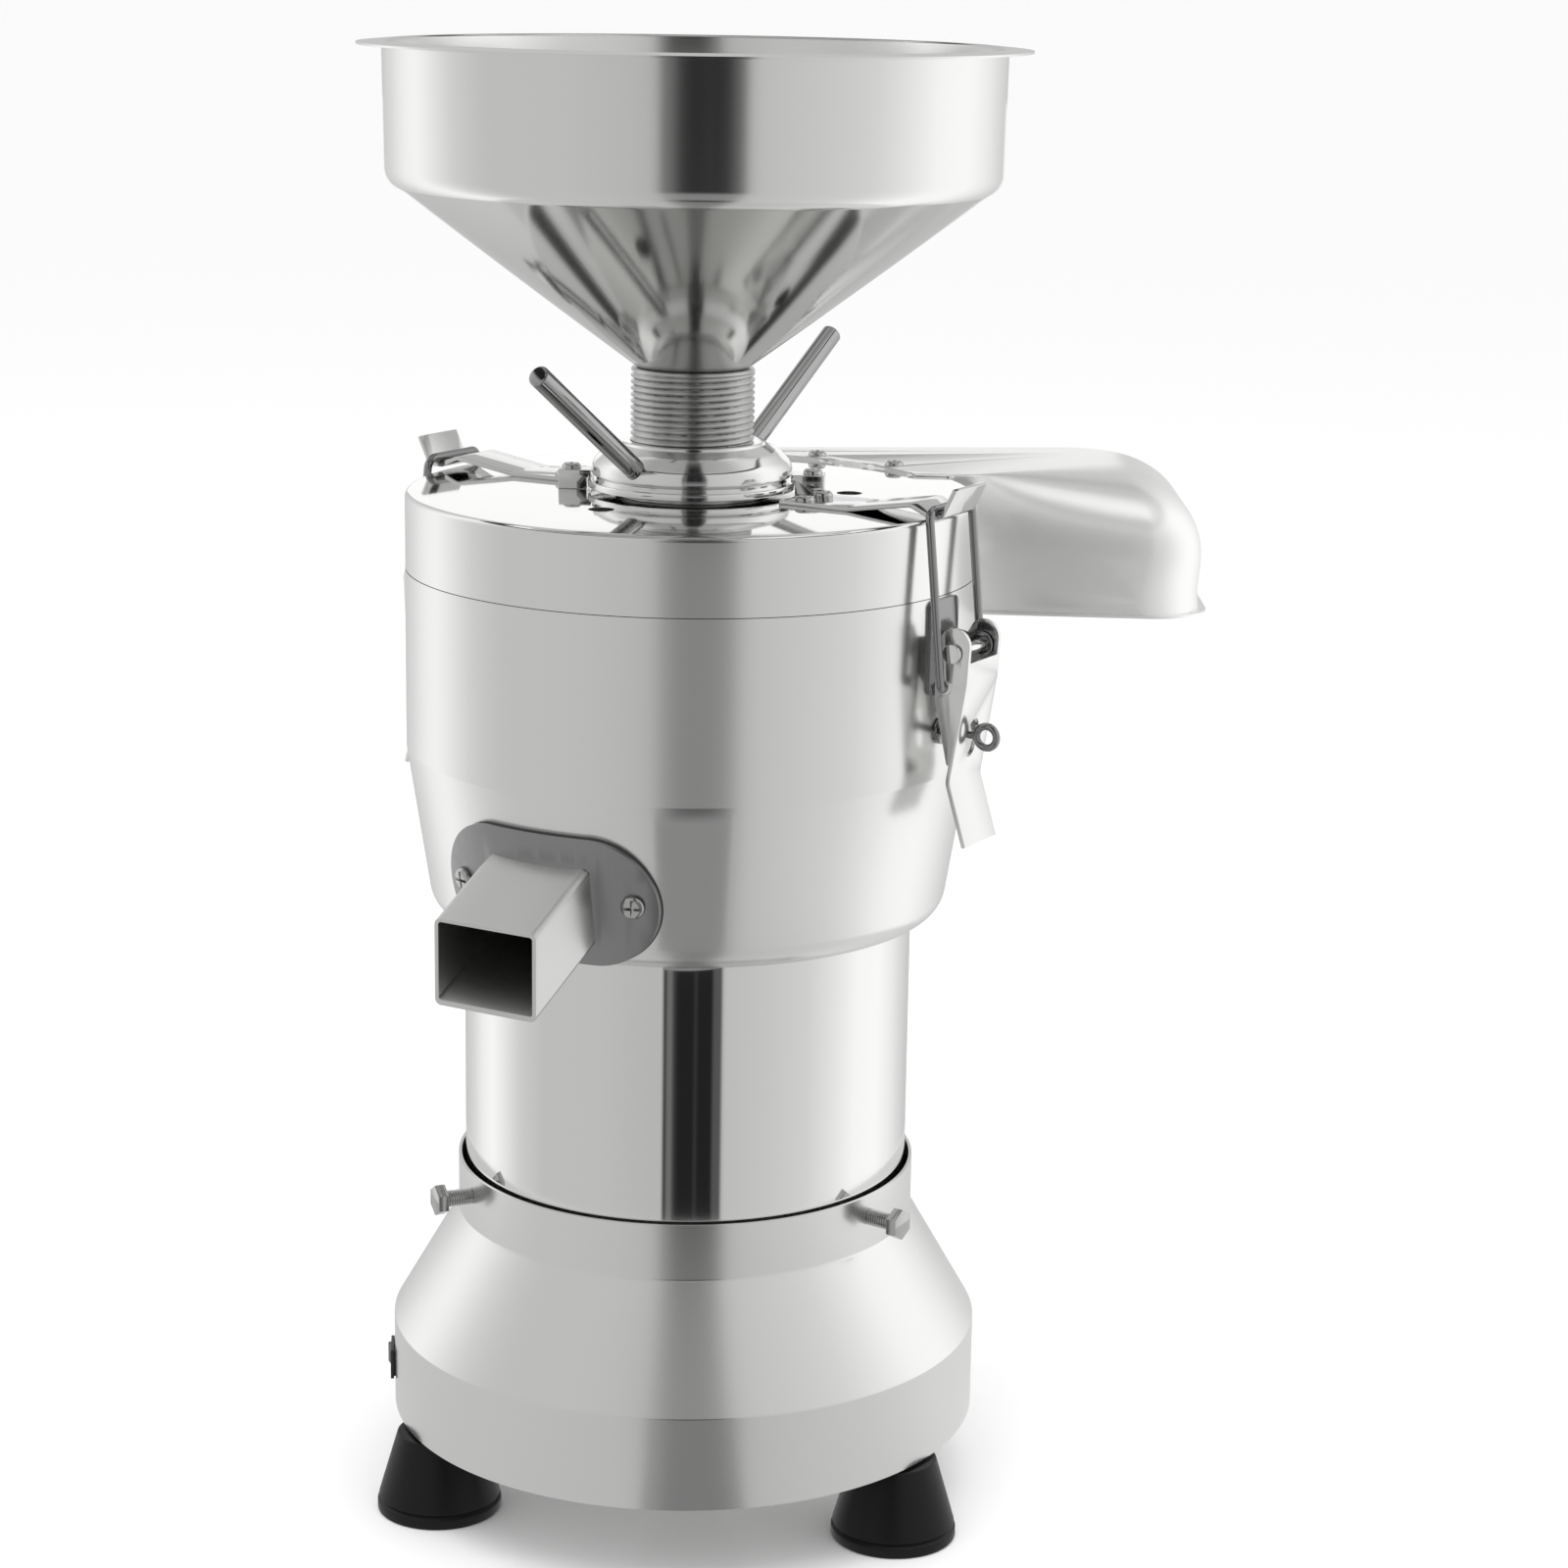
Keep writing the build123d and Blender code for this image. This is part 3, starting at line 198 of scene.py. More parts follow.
def polish_and_painted_shade_where(piece, material, chosen):
    """Gives a second material to the faces that a test chooses by centre and normal; on the spout's flange it
    is painted shade.
    """
    piece.data.materials.append(material)
    for face in piece.data.polygons:
        if chosen(face.center / MM, face.normal):
            face.material_index = 1


def dressed(piece, body, slot, material, *replaced):
    """Gives a finished piece its material and its place in the frame."""
    piece.data.materials.clear()
    piece.data.materials.append(material)
    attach(piece, body)
    if replaced:
        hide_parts(*replaced)


def merged(name, parts):
    """Joins several objects into one piece."""
    bpy.ops.object.select_all(action="DESELECT")
    for part in parts:
        part.select_set(True)
    bpy.context.view_layer.objects.active = parts[0]
    bpy.ops.object.join()
    parts[0].name = name
    return parts[0]


def body_of(node):
    """The body that a node of the frame rides on."""
    return nodes[node]["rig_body"]


# %% [markdown]
# A pressed or cast piece with an irregular shape is already right in the frame, but its mesh is made of
# loose triangles and would look faceted. A copy of it can be welded, cleaned of the edges inside its flat
# faces, given a small bevel and shaded smoothly. The edge that catches the light is what makes sheet metal
# look real.

# %% Weld and soften a copy of a node
def softened(node, bevel=0.3, segments=2, angle=35):
    """A welded copy of a node's mesh, with its edges softened by a bevel in millimetres."""
    piece = bpy.data.objects.new(node + "_skin", nodes[node].data.copy())
    bpy.context.scene.collection.objects.link(piece)
    only(piece)
    bpy.ops.object.mode_set(mode="EDIT")
    bpy.ops.mesh.select_all(action="SELECT")
    bpy.ops.mesh.remove_doubles(threshold=0.005 * MM)
    bpy.ops.mesh.dissolve_limited(angle_limit=radians(0.5))
    bpy.ops.object.mode_set(mode="OBJECT")
    if bevel:
        apply_modifier(
            piece,
            "BEVEL",
            width=bevel * MM,
            segments=segments,
            limit_method="ANGLE",
            angle_limit=radians(angle),
        )
    smooth(piece, angle)
    return piece


# %% [markdown]
# ## Steel
#
# Stainless sheet has a direction. Spinning and polishing leave rings around the axis, so the roughness
# comes from a noise that is read by radius and height and never by angle: that draws it out into fine
# rings. A second, broad noise varies the roughness a little, as handling and wiping do.

# %% A material with its node tree
def new_material(name):
    """An empty material: its node tree, its shader and its object coordinates."""
    material = bpy.data.materials.new(name)
    material.use_nodes = True
    tree = material.node_tree
    shader = tree.nodes["Principled BSDF"]
    place = tree.nodes.new("ShaderNodeTexCoord")
    return material, tree, shader, place.outputs["Object"]


def split_place(tree, place):
    """The three parts of a place."""
    split = tree.nodes.new("ShaderNodeSeparateXYZ")
    tree.links.new(place, split.inputs["Vector"])
    return split.outputs["X"], split.outputs["Y"], split.outputs["Z"]


def noise_node(tree, vector, scale, detail=3.0):
    """A noise texture read at a vector."""
    noise = tree.nodes.new("ShaderNodeTexNoise")
    noise.inputs["Scale"].default_value = scale
    noise.inputs["Detail"].default_value = detail
    tree.links.new(vector, noise.inputs["Vector"])
    return noise.outputs["Fac"]


def ranged(tree, value, low, high):
    """A value from 0.3 to 0.7 mapped to a low and a high."""
    span = tree.nodes.new("ShaderNodeMapRange")
    span.inputs["From Min"].default_value = 0.3
    span.inputs["From Max"].default_value = 0.7
    span.inputs["To Min"].default_value = low
    span.inputs["To Max"].default_value = high
    tree.links.new(value, span.inputs["Value"])
    return span.outputs["Result"]


def add_up(tree, first, second, operation="ADD"):
    """Two values put together by a Math node."""
    total = tree.nodes.new("ShaderNodeMath")
    total.operation = operation
    tree.links.new(first, total.inputs[0])
    if isinstance(second, float):
        total.inputs[1].default_value = second
    else:
        tree.links.new(second, total.inputs[1])
    return total.outputs["Value"]


def colour_between(tree, value, dark, light):
    """A colour between a dark and a light one, by a value from 0.3 to 0.7."""
    ramp = tree.nodes.new("ShaderNodeValToRGB")
    ramp.color_ramp.elements[0].position = 0.3
    ramp.color_ramp.elements[0].color = (*dark, 1)
    ramp.color_ramp.elements[1].position = 0.7
    ramp.color_ramp.elements[1].color = (*light, 1)
    tree.links.new(value, ramp.inputs["Fac"])
    return ramp.outputs["Color"]


def bumped(tree, shader, height, depth):
    """A bump of a depth in millimetres on the shader's normal."""
    bump = tree.nodes.new("ShaderNodeBump")
    bump.inputs["Strength"].default_value = 1.0
    bump.inputs["Distance"].default_value = depth * MM
    tree.links.new(height, bump.inputs["Height"])
    tree.links.new(bump.outputs["Normal"], shader.inputs["Normal"])


def steel_from(tree, shader, tint, roughness, grain, grain_share, broad, smudge):
    """Makes a shader steel: a grain varies its roughness and tint, and a broad noise smudges it."""
    fine = ranged(tree, grain, roughness * (1 - grain_share), roughness * (1 + grain_share))
    tree.links.new(add_up(tree, fine, ranged(tree, broad, 0.0, smudge)), shader.inputs["Roughness"])
    dark = tuple((1 - grain_share / 8) * part for part in tint)
    tree.links.new(colour_between(tree, grain, dark, tint), shader.inputs["Base Color"])
    shader.inputs["Metallic"].default_value = 1.0


# %% Spun steel, ringed around the axis
def spun_steel(name, tint, roughness, ring_share=0.04, smudge=0.02):
    """Steel spun or polished about the upright axis."""
    material, tree, shader, place = new_material(name)
    x, y, z = split_place(tree, place)
    square_x = add_up(tree, x, 2.0, "POWER")
    square_y = add_up(tree, y, 2.0, "POWER")
    across = add_up(tree, add_up(tree, square_x, square_y), 0.5, "POWER")
    rings = tree.nodes.new("ShaderNodeCombineXYZ")
    tree.links.new(across, rings.inputs["X"])
    tree.links.new(z, rings.inputs["Y"])
    lines = noise_node(tree, rings.outputs["Vector"], 2200.0, 4.0)
    broad = noise_node(tree, place, 9.0, 4.0)
    steel_from(tree, shader, tint, roughness, lines, ring_share, broad, smudge)
    return material


# %% Sheet steel, with a straight grain or none
def sheet_steel(name, tint, roughness, stretch=(1.0, 1.0, 1.0), grain_share=0.2, smudge=0.04):
    """Rolled or drawn steel, its grain drawn out by the stretch along one axis."""
    material, tree, shader, place = new_material(name)
    drawn = tree.nodes.new("ShaderNodeMapping")
    drawn.inputs["Scale"].default_value = stretch
    tree.links.new(place, drawn.inputs["Vector"])
    grain = noise_node(tree, drawn.outputs["Vector"], 300.0)
    broad = noise_node(tree, place, 25.0)
    steel_from(tree, shader, tint, roughness, grain, grain_share, broad, smudge)
    return material


# %% Rubber, plastic, stone and the rest
def plain_stuff(name, dark, light, roughness, scale, depth, metallic=0.0):
    """A material of fine grit: moulded rubber, plastic, stone or cast metal."""
    material, tree, shader, place = new_material(name)
    grit = noise_node(tree, place, scale, 5.0)
    tree.links.new(colour_between(tree, grit, dark, light), shader.inputs["Base Color"])
    tree.links.new(ranged(tree, grit, roughness * 0.85, roughness * 1.15), shader.inputs["Roughness"])
    shader.inputs["Metallic"].default_value = metallic
    bumped(tree, shader, grit, depth)
    return material


# %% [markdown]
# The tints run from fresh steel to the darker one of wires and brackets, and the roughness runs from a
# mirror's 0.05 to the 0.35 of plain sheet.

# %% Mix the finishes
STEEL = (0.80, 0.80, 0.79)
DULL_STEEL = (0.66, 0.66, 0.65)
GREY_STEEL = (0.5, 0.5, 0.495)
ROD_STEEL = (0.38, 0.38, 0.38)
# On the spout's flange this dark tint is painted shade.
DARK_STEEL = (0.3, 0.3, 0.3)
HOOD_STEEL = (0.86, 0.86, 0.85)
mirror_steel = spun_steel("mirror_steel", STEEL, 0.045)
cone_steel = spun_steel("cone_steel", DULL_STEEL, 0.1)
thread_steel = spun_steel("thread_steel", GREY_STEEL, 0.3)
nut_steel = spun_steel("nut_steel", STEEL, 0.1)
rod_steel = sheet_steel("rod_steel", ROD_STEEL, 0.05, smudge=0.0)
lid_steel = spun_steel("lid_steel", STEEL, 0.2)
hopper_steel = spun_steel("hopper_steel", STEEL, 0.16)
satin_steel = spun_steel("satin_steel", STEEL, 0.22)
base_steel = spun_steel("base_steel", STEEL, 0.23, ring_share=0.015, smudge=0.005)
hood_steel = sheet_steel("hood_steel", HOOD_STEEL, 0.33, grain_share=0.0, smudge=0.0)
spout_steel = sheet_steel("spout_steel", DULL_STEEL, 0.3, grain_share=0.0, smudge=0.01)
# The flange's darker tint is painted shade, not a darker steel.
flange_painted_shade_steel = sheet_steel("flange_painted_shade_steel", DARK_STEEL, 0.3, grain_share=0.0, smudge=0.01)
wire_steel = sheet_steel("wire_steel", DARK_STEEL, 0.05, smudge=0.0)
strap_steel = sheet_steel("strap_steel", DULL_STEEL, 0.05)
lever_steel = sheet_steel("lever_steel", STEEL, 0.2, stretch=(1.0, 1.0, 0.1))
bracket_steel = sheet_steel("bracket_steel", DARK_STEEL, 0.16)
turned_steel = spun_steel("turned_steel", STEEL, 0.06)
screw_steel = sheet_steel("screw_steel", GREY_STEEL, 0.12, smudge=0.0)
inner_steel = sheet_steel("inner_steel", DULL_STEEL, 0.35)
cast_aluminium = plain_stuff("cast_aluminium", (0.45, 0.45, 0.46), (0.6, 0.6, 0.61), 0.45, 700.0, 0.05, 1.0)
black_rubber = plain_stuff("black_rubber", (0.002, 0.002, 0.002), (0.004, 0.004, 0.004), 0.4, 900.0, 0.02)
black_rubber.node_tree.nodes["Principled BSDF"].inputs["Specular IOR Level"].default_value = 0.25
seal_rubber = plain_stuff("seal_rubber", (0.01, 0.01, 0.01), (0.02, 0.02, 0.02), 0.6, 900.0, 0.02)
black_plastic = plain_stuff("black_plastic", (0.006, 0.006, 0.007), (0.012, 0.012, 0.013), 0.28, 1500.0, 0.01)
white_plastic = plain_stuff("white_plastic", (0.75, 0.75, 0.72), (0.85, 0.85, 0.82), 0.4, 900.0, 0.01)
laminations = plain_stuff("laminations", (0.08, 0.08, 0.09), (0.16, 0.16, 0.17), 0.5, 1200.0, 0.05, 0.8)
copper_wire = plain_stuff("copper_wire", (0.35, 0.12, 0.04), (0.55, 0.22, 0.08), 0.3, 1500.0, 0.1, 0.9)
grit_stone = plain_stuff("grit_stone", (0.16, 0.17, 0.19), (0.42, 0.43, 0.45), 0.8, 1600.0, 0.25)
print(len(bpy.data.materials), "materials")

# %% [markdown]
# ## Pieces that keep the frame's own mesh
#
# What is hidden inside keeps the node's own mesh, and only its material is set.

# %% Set the materials of the inner nodes
inner_finishes = {
    inner_steel: [
        "base_plate",
        "rotor_plate",
        "sieve_basket",
        "upper_carrier",
        "capacitor_clamp",
        "lid_boss",
    ],
    screw_steel: ["foot_screws", "lock_nut", "tube_guide_screw"],
    turned_steel: ["motor_shaft", "lower_bearing", "upper_bearing"],
    cast_aluminium: ["lower_end_shield", "upper_end_shield"],
    laminations: ["stator", "rotor_core"],
    copper_wire: ["windings"],
    grit_stone: ["lower_stone", "upper_stone"],
    seal_rubber: ["chamber_seal", "shaft_seal", "spout_gasket"],
    white_plastic: ["capacitor"],
}
for finish, names in inner_finishes.items():
    for name in names:
        nodes[name].data.materials.clear()
        nodes[name].data.materials.append(finish)

# %% [markdown]
# ## The base
#
# The base is one spun sheet: a straight collar that grips the motor, a flare, a shoulder and a straight
# skirt. The shoulder's small rounding is the crease that the light breaks on.

# %% Spin the base shell
collar_radius = 111.0
base_radius = 143.0
base_section = rounded(
    [
        (collar_radius, 168.0, 0),
        (collar_radius, 141.0, 3),
        (base_radius, 86.0, 2),
        (base_radius, 41.0, 0),
    ],
    steps=14,
)
base = turned("base_skin", base_section, steps=192)
thicken(base, 1.5)
switch_angle = 185.0
switch_place = around(base_radius, switch_angle, 60.0) * MM
cut(base, box(switch_place, Vector((20, 19, 13)) * MM, (0, 0, radians(switch_angle))))
smooth(base)
dressed(base, "frame", "polished_steel", base_steel, "base_shell")
print("base", len(base.data.polygons), "faces")

# %% [markdown]
# The motor sits in a polished tube. It is the mirror of the machine: the dark room in front of it shows as
# one sharp dark stripe.

# %% Spin the motor sleeve
sleeve_section = [(107.5, 292.0), (107.5, 143.0), (105.5, 143.0), (105.5, 292.0)]
sleeve = turned("sleeve_skin", sleeve_section, steps=192, closed=True)
smooth(sleeve)
dressed(sleeve, "frame", "polished_steel", mirror_steel, "motor_sleeve")

# %% [markdown]
# The feet are moulded rubber cones with a groove just above the sole.

# %% Turn a foot and set three of them
foot_circle_radius = 128.0
foot_section = rounded(
    [
        (9.0, 20.0, 0),
        (9.0, 0.0, 0.5),
        (30.0, 0.0, 1.2),
        (30.0, 5.0, 0.8),
        (28.4, 6.0, 0.3),
        (29.3, 7.6, 0.8),
        (20.0, 39.5, 1.0),
        (4.0, 39.5, 0),
        (4.0, 26.0, 0),
        (7.5, 26.0, 0),
        (7.5, 20.0, 0),
    ],
    steps=4,
)
feet = []
for angle in TRIPOD:
    foot = turned(f"foot_{len(feet) + 1}", foot_section, steps=72, closed=True)
    foot.location = around(foot_circle_radius, angle, 0) * MM
    placed(foot)
    smooth(foot)
    feet.append(foot)
rubber_feet = merged("feet_skin", feet)
dressed(rubber_feet, "frame", "rubber", black_rubber, "rubber_feet")

# %% [markdown]
# ## The milk chamber
#
# The chamber is a deep spun pan: straight at the top, then a slight taper and a rounded bottom corner. The
# spout's opening goes through the taper.

# %% Spin the chamber and open it for the spout
chamber_radius = 134.5
chamber_low_radius = 122.0
taper_top = 372.0
chamber_bottom = 292.0
chamber_section = rounded(
    [
        (chamber_radius, 456.9, 0),
        (chamber_radius, taper_top, 4),
        (chamber_low_radius, chamber_bottom, 14),
        (20.0, chamber_bottom, 0),
    ],
    steps=10,
)
chamber = turned("chamber_skin", chamber_section, steps=192)
thicken(chamber, 2.0)
spout_angle = -119.5
spout_slope = radians(26.0)
mouth_reach = 173.0
mouth_height = 301.0
opening_reach = 125.0
opening_height = mouth_height + (mouth_reach - opening_reach) * tan(spout_slope)
opening_place = around(opening_reach, spout_angle, opening_height) * MM
cut(chamber, box(opening_place, Vector((60, 50, 32)) * MM, (0, spout_slope, radians(spout_angle))))
smooth(chamber)
hub = turned("hub", [(20.0, 293.0), (22.0, 293.0), (22.0, 324.0), (20.0, 324.0)], steps=96, closed=True)
smooth(hub)
chamber = merged("chamber_skin", [chamber, hub])
dressed(chamber, "frame", "satin_steel", satin_steel, "milk_chamber")

# %% [markdown]
# The spout's flange lies on the taper. Its darker steel is painted shade: a darker copy of the spout's steel
# stands in for the shade the flange catches. A face belongs to the flange when it is close to the taper's
# cone.

# %% Soften the spout
taper = (chamber_radius - chamber_low_radius) / (taper_top - chamber_bottom)
flange_height = 325.0
flange_face_radius = 131.6
spout = softened("milk_spout", bevel=0.6, segments=3)
dressed(spout, "frame", "satin_steel", spout_steel, "milk_spout")


def on_flange(centre, normal):
    """Whether a face of the spout is close to the taper's cone."""
    reach = hypot(centre.x, centre.y)
    return reach - taper * (centre.z - flange_height) < flange_face_radius


# The flange faces get the darker copy of the steel as painted shade.
polish_and_painted_shade_where(spout, flange_painted_shade_steel, on_flange)

# %% [markdown]
# ## The lid
#
# The lid is a pressed cap, polished like a mirror on top. It has three breather holes, and its skirt is cut
# away where the pulp flies into the chute.

# %% Spin the lid, drill it and cut the window
lid_top = 493.2
lid_radius = 134.3
lid = turned(
    "lid_skin",
    rounded([(36.0, lid_top, 0), (lid_radius, lid_top, 3), (lid_radius, 457.2, 0)], steps=8),
    steps=192,
)
thicken(lid, 1.5)
hole_circle_radius = 74.0
for angle in (-2.0, 118.0, 238.0):
    hole_place = around(hole_circle_radius, angle, lid_top) * MM
    bpy.ops.object.select_all(action="DESELECT")
    bpy.ops.mesh.primitive_cylinder_add(vertices=48, radius=6 * MM, depth=10 * MM, location=hole_place)
    cut(lid, bpy.context.object)
window_corners = (
    (Vector((98, 54, 463)), Vector((150, 150, 487))),
    (Vector((40, 100, 463)), Vector((99, 150, 487))),
)
for low, high in window_corners:
    cut(lid, box((low + high) / 2 * MM, (high - low) * MM))
smooth(lid)
dressed(lid, "lid", "polished_steel", lid_steel, "lid_shell")
polish_and_painted_shade_where(lid, mirror_steel, lambda centre, normal: normal.z > 0.5)

# %% Soften the hood, the straps and the clips
for node, slot_name, material, bevel in (
    ("chute_hood", "satin_steel", hood_steel, 0.0),
    ("right_strap", "polished_steel", strap_steel, 0.4),
    ("left_strap", "polished_steel", strap_steel, 0.4),
    ("nut_clips", "polished_steel", strap_steel, 0.6),
):
    dressed(softened(node, bevel=bevel), "lid", slot_name, material, node)

# %% [markdown]
# ## The latches
#
# Each latch is a bent lever on a bracket, a wire bail and a ring that takes a pin. Polished wire shows the
# whole room in a few pixels, so its shading has to be smooth all round.

# %% Soften the latches
for side in ("right", "left"):
    for node, slot_name, material, bevel in (
        (f"{side}_lever", "polished_steel", lever_steel, 0.5),
        (f"{side}_bail", "polished_steel", wire_steel, 0.0),
        (f"{side}_bracket", "satin_steel", bracket_steel, 0.3),
        (f"{side}_latch_pin", "polished_steel", turned_steel, 0.2),
        (f"{side}_staple", "polished_steel", wire_steel, 0.0),
    ):
        dressed(softened(node, bevel=bevel), body_of(node), slot_name, material, node)

# %% [markdown]
# ## The feed tube and the adjusting nut
#
# Turning the domed nut by its two rods raises or lowers the upper stone. The tube's thread is a real helix:
# one tooth of it is drawn and the Screw modifier winds it up the tube.

# %% Wind the thread on the feed tube
def wound_thread(name, root, crest, pitch, turns, low, steps):
    """A thread wound upwards from a height, between its root and crest radii, in millimetres."""
    rise = crest - root
    tooth = [
        (root, 0.0),
        (crest - 0.08 * rise, 0.24 * pitch),
        (crest, 0.34 * pitch),
        (crest, 0.46 * pitch),
        (crest - 0.08 * rise, 0.56 * pitch),
        (root, 0.8 * pitch),
        (root, pitch),
    ]
    thread = drawn_line(name, [Vector((radius, 0, low + height)) for radius, height in tooth])
    apply_modifier(
        thread,
        "SCREW",
        angle=2 * pi,
        screw_offset=pitch * MM,
        iterations=turns,
        steps=steps,
        render_steps=steps,
        axis="Z",
        use_merge_vertices=True,
        merge_threshold=0.01 * MM,
        use_normal_calculate=True,
    )
    return thread


thread = wound_thread("thread", 27.65, 29.0, 3.0, 22, 481.4, 96)
core = turned(
    "core",
    [
        (23.0, 409.5),
        (29.0, 409.5),
        (29.0, 480.0),
        (27.65, 481.4),
        (27.65, 549.2),
        (28.9, 549.6),
        (28.9, 550.4),
        (28.3, 551.0),
        (25.5, 551.0),
        (23.0, 548.5),
    ],
    steps=96,
    closed=True,
)
tube = merged("tube_skin", [core, thread])
smooth(tube, 60)
dressed(tube, "tube", "polished_steel", thread_steel, "feed_tube")

# %% Turn the domed nut
nut_bottom = 495.0
nut_top = 517.0
nut_section = rounded(
    [
        (27.9, nut_bottom, 0),
        (48.9, nut_bottom, 0.6),
        (48.9, nut_bottom + 3.4, 0.8),
        (45.0, nut_bottom + 3.4, 0),
        (45.0, nut_bottom + 4.8, 0),
        (47.2, nut_bottom + 6.4, 1.0),
        (46.8, nut_bottom + 12.0, 8.0),
        (41.0, nut_bottom + 18.0, 8.0),
        (34.0, nut_bottom + 20.6, 1.0),
        (33.6, nut_top, 1.0),
        (29.5, nut_top, 0.8),
        (28.0, nut_top - 1.5, 0),
    ],
    steps=5,
)
nut = turned("nut_skin", nut_section, steps=128, closed=True)
smooth(nut, 40)
dressed(nut, "nut", "turned_steel", nut_steel, "adjusting_nut")

# %% Set the two handle rods
rod_radius = 5.0
rod_length = 95.0
rod_rise = radians(35)
rod_section = rounded(
    [(0.01, 0, 0), (rod_radius, 0, 0), (rod_radius, rod_length, 1.1), (0.01, rod_length, 0)],
    steps=5,
)
rods = []
for angle in (55.5, 235.5):
    rod = turned(f"rod_{len(rods) + 1}", rod_section, steps=48)
    way = around(cos(rod_rise), angle, sin(rod_rise))
    rod.rotation_euler = way.to_track_quat("Z", "Y").to_euler()
    rod.location = around(38.0, angle, 503.0) * MM
    placed(rod)
    smooth(rod, 40)
    rods.append(rod)
handles = merged("rods_skin", rods)
dressed(handles, "nut", "turned_steel", rod_steel, "nut_handles")

# %% [markdown]
# ## The hopper
#
# The hopper is one spun sheet: a flat rim, a straight drum, a rounded corner and a cone down to the tube.

# %% Spin the hopper
hopper = turned(
    "hopper_skin",
    rounded(
        [
            (154.5, 697.9, 0),
            (142.0, 699.0, 1.5),
            (141.2, 637.0, 10),
            (25.0, 551.5, 2),
            (22.6, 548.5, 2),
            (22.6, 529.5, 0),
        ],
        steps=10,
    ),
    steps=224,
)
thicken(hopper, 1.0)
smooth(hopper)
dressed(hopper, "hopper", "polished_steel", hopper_steel, "hopper")
polish_and_painted_shade_where(hopper, cone_steel, lambda centre, normal: centre.z < 634 and normal.z < 0.5)

# %% [markdown]
# ## Screws and small parts
#
# The small screws have domed heads with a cross recess. A screw is turned, and two small tapered bars cut
# the cross into its head.

# %% Turn a cross-head screw
RECESS_BOTTOM = 0.5
RECESS_TOP = 1.1
RECESS_DEPTH = 2.0
RECESS_SINK = 0.7


def cross_screw(place, way, head_radius, head_height, shank_radius, length):
    """A screw with the underside of its head on a point in millimetres, and its head facing a way."""
    screw = turned(
        "screw",
        rounded(
            [
                (0.01, head_height, 0),
                (head_radius, head_height, 0.8 * head_height),
                (head_radius, 0, 0),
                (shank_radius, 0, 0),
                (shank_radius, -length, 0.5),
                (0.01, -length, 0),
            ],
            steps=5,
        ),
        steps=40,
    )
    for turn in (0, 90):
        bpy.ops.object.select_all(action="DESELECT")
        bpy.ops.mesh.primitive_cone_add(
            vertices=4,
            radius1=RECESS_BOTTOM * MM,
            radius2=RECESS_TOP * MM,
            depth=RECESS_DEPTH * MM,
            location=(0, 0, (head_height - RECESS_SINK) * MM),
            rotation=(0, 0, radians(45)),
        )
        bar = bpy.context.object
        placed(bar)
        bar.scale = (1.1 * head_radius, 1, 1)
        bar.rotation_euler = (0, 0, radians(turn))
        placed(bar)
        cut(screw, bar)
    screw.rotation_euler = way.to_track_quat("Z", "Y").to_euler()
    screw.location = place * MM
    placed(screw)
    smooth(screw, 40)
    return screw


# %% Set the screws of the lid and of the spout
upwards = Vector((0, 0, 1))
strap_places = []
for angle in (-30.0, 150.0):
    middle = around(66.0, angle, lid_top + 2.0)
    across = around(8.5, angle + 90, 0)
    strap_places += [middle + across, middle - across]
chute_places = [around(127.0, angle, lid_top + 1.2) for angle in (40.0, 62.0, 84.0)]
clip_places = [around(56.9, angle, lid_top + 9.0) for angle in (176.0, 356.0)]
for node, places, length in (
    ("strap_screws", strap_places, 6.5),
    ("chute_screws", chute_places, 5.7),
    ("clip_screws", clip_places, 13.5),
):
    screws = [cross_screw(place, upwards, 4.6, 2.4, 2.0, length) for place in places]
    dressed(merged(node + "_skin", screws), body_of(node), "fastener_steel", screw_steel, node)
seat_radius = 127.16
screw_turn = degrees(45.0 / seat_radius)
spout_screws = []
for angle in (spout_angle - screw_turn, spout_angle + screw_turn):
    place = around(seat_radius + 3.7, angle, flange_height)
    spout_screws.append(cross_screw(place, around(1, angle, -taper), 5.5, 2.6, 2.5, 10.0))
dressed(merged("spout_screws_skin", spout_screws), "frame", "fastener_steel", screw_steel, "spout_screws")

# %% [markdown]
# The three bolts in the collar stand a little out of it, so that their threads show.

# %% Wind and set the collar bolts
shank_radius = 3.45
shank_length = 25.0
head_radius = 6.5 / cos(pi / 6)
head_height = 5.5
head_middle = (0, 0, (shank_length - 0.5 + head_height / 2) * MM)
bolts = []
for angle in TRIPOD:
    bolt_thread = wound_thread("bolt_thread", 3.4, 4.0, 1.25, 19, 0.0, 40)
    shank_section = [(0.01, 0.0), (shank_radius, 0.0), (shank_radius, shank_length), (0.01, shank_length)]
    shank = turned("shank", shank_section, steps=40)
    bpy.ops.object.select_all(action="DESELECT")
    bpy.ops.mesh.primitive_cylinder_add(
        vertices=6,
        radius=head_radius * MM,
        depth=head_height * MM,
        location=head_middle,
    )
    head = bpy.context.object
    placed(head)
    apply_modifier(head, "BEVEL", width=0.6 * MM, segments=2, limit_method="ANGLE", angle_limit=radians(70))
    bolt = merged("bolt", [shank, bolt_thread, head])
    bolt.rotation_euler = around(1, angle, 0).to_track_quat("Z", "Y").to_euler()
    bolt.location = around(99.5, angle, 157.0) * MM
    placed(bolt)
    smooth(bolt, 30)
    bolts.append(bolt)
dressed(merged("collar_bolts_skin", bolts), "frame", "fastener_steel", screw_steel, "collar_bolts")

# %% Soften the rest
for node, bevel in (
    ("switch_frame", 0.4),
    ("switch_rocker", 0.5),
    ("cable_gland", 0.4),
):
    dressed(softened(node, bevel=bevel), body_of(node), "black_plastic", black_plastic, node)

# %% [markdown]
# ## The studio
#
# Polished steel looks like the room around it. The machine stands in a light tent: a round wall of soft
# light that is brightest at both sides and has one dark gap at the front, where the photographer looks in.
# The wall's light is painted by the angle around the machine. Neither the camera nor the floor sees the
# tent. Only the steel does.

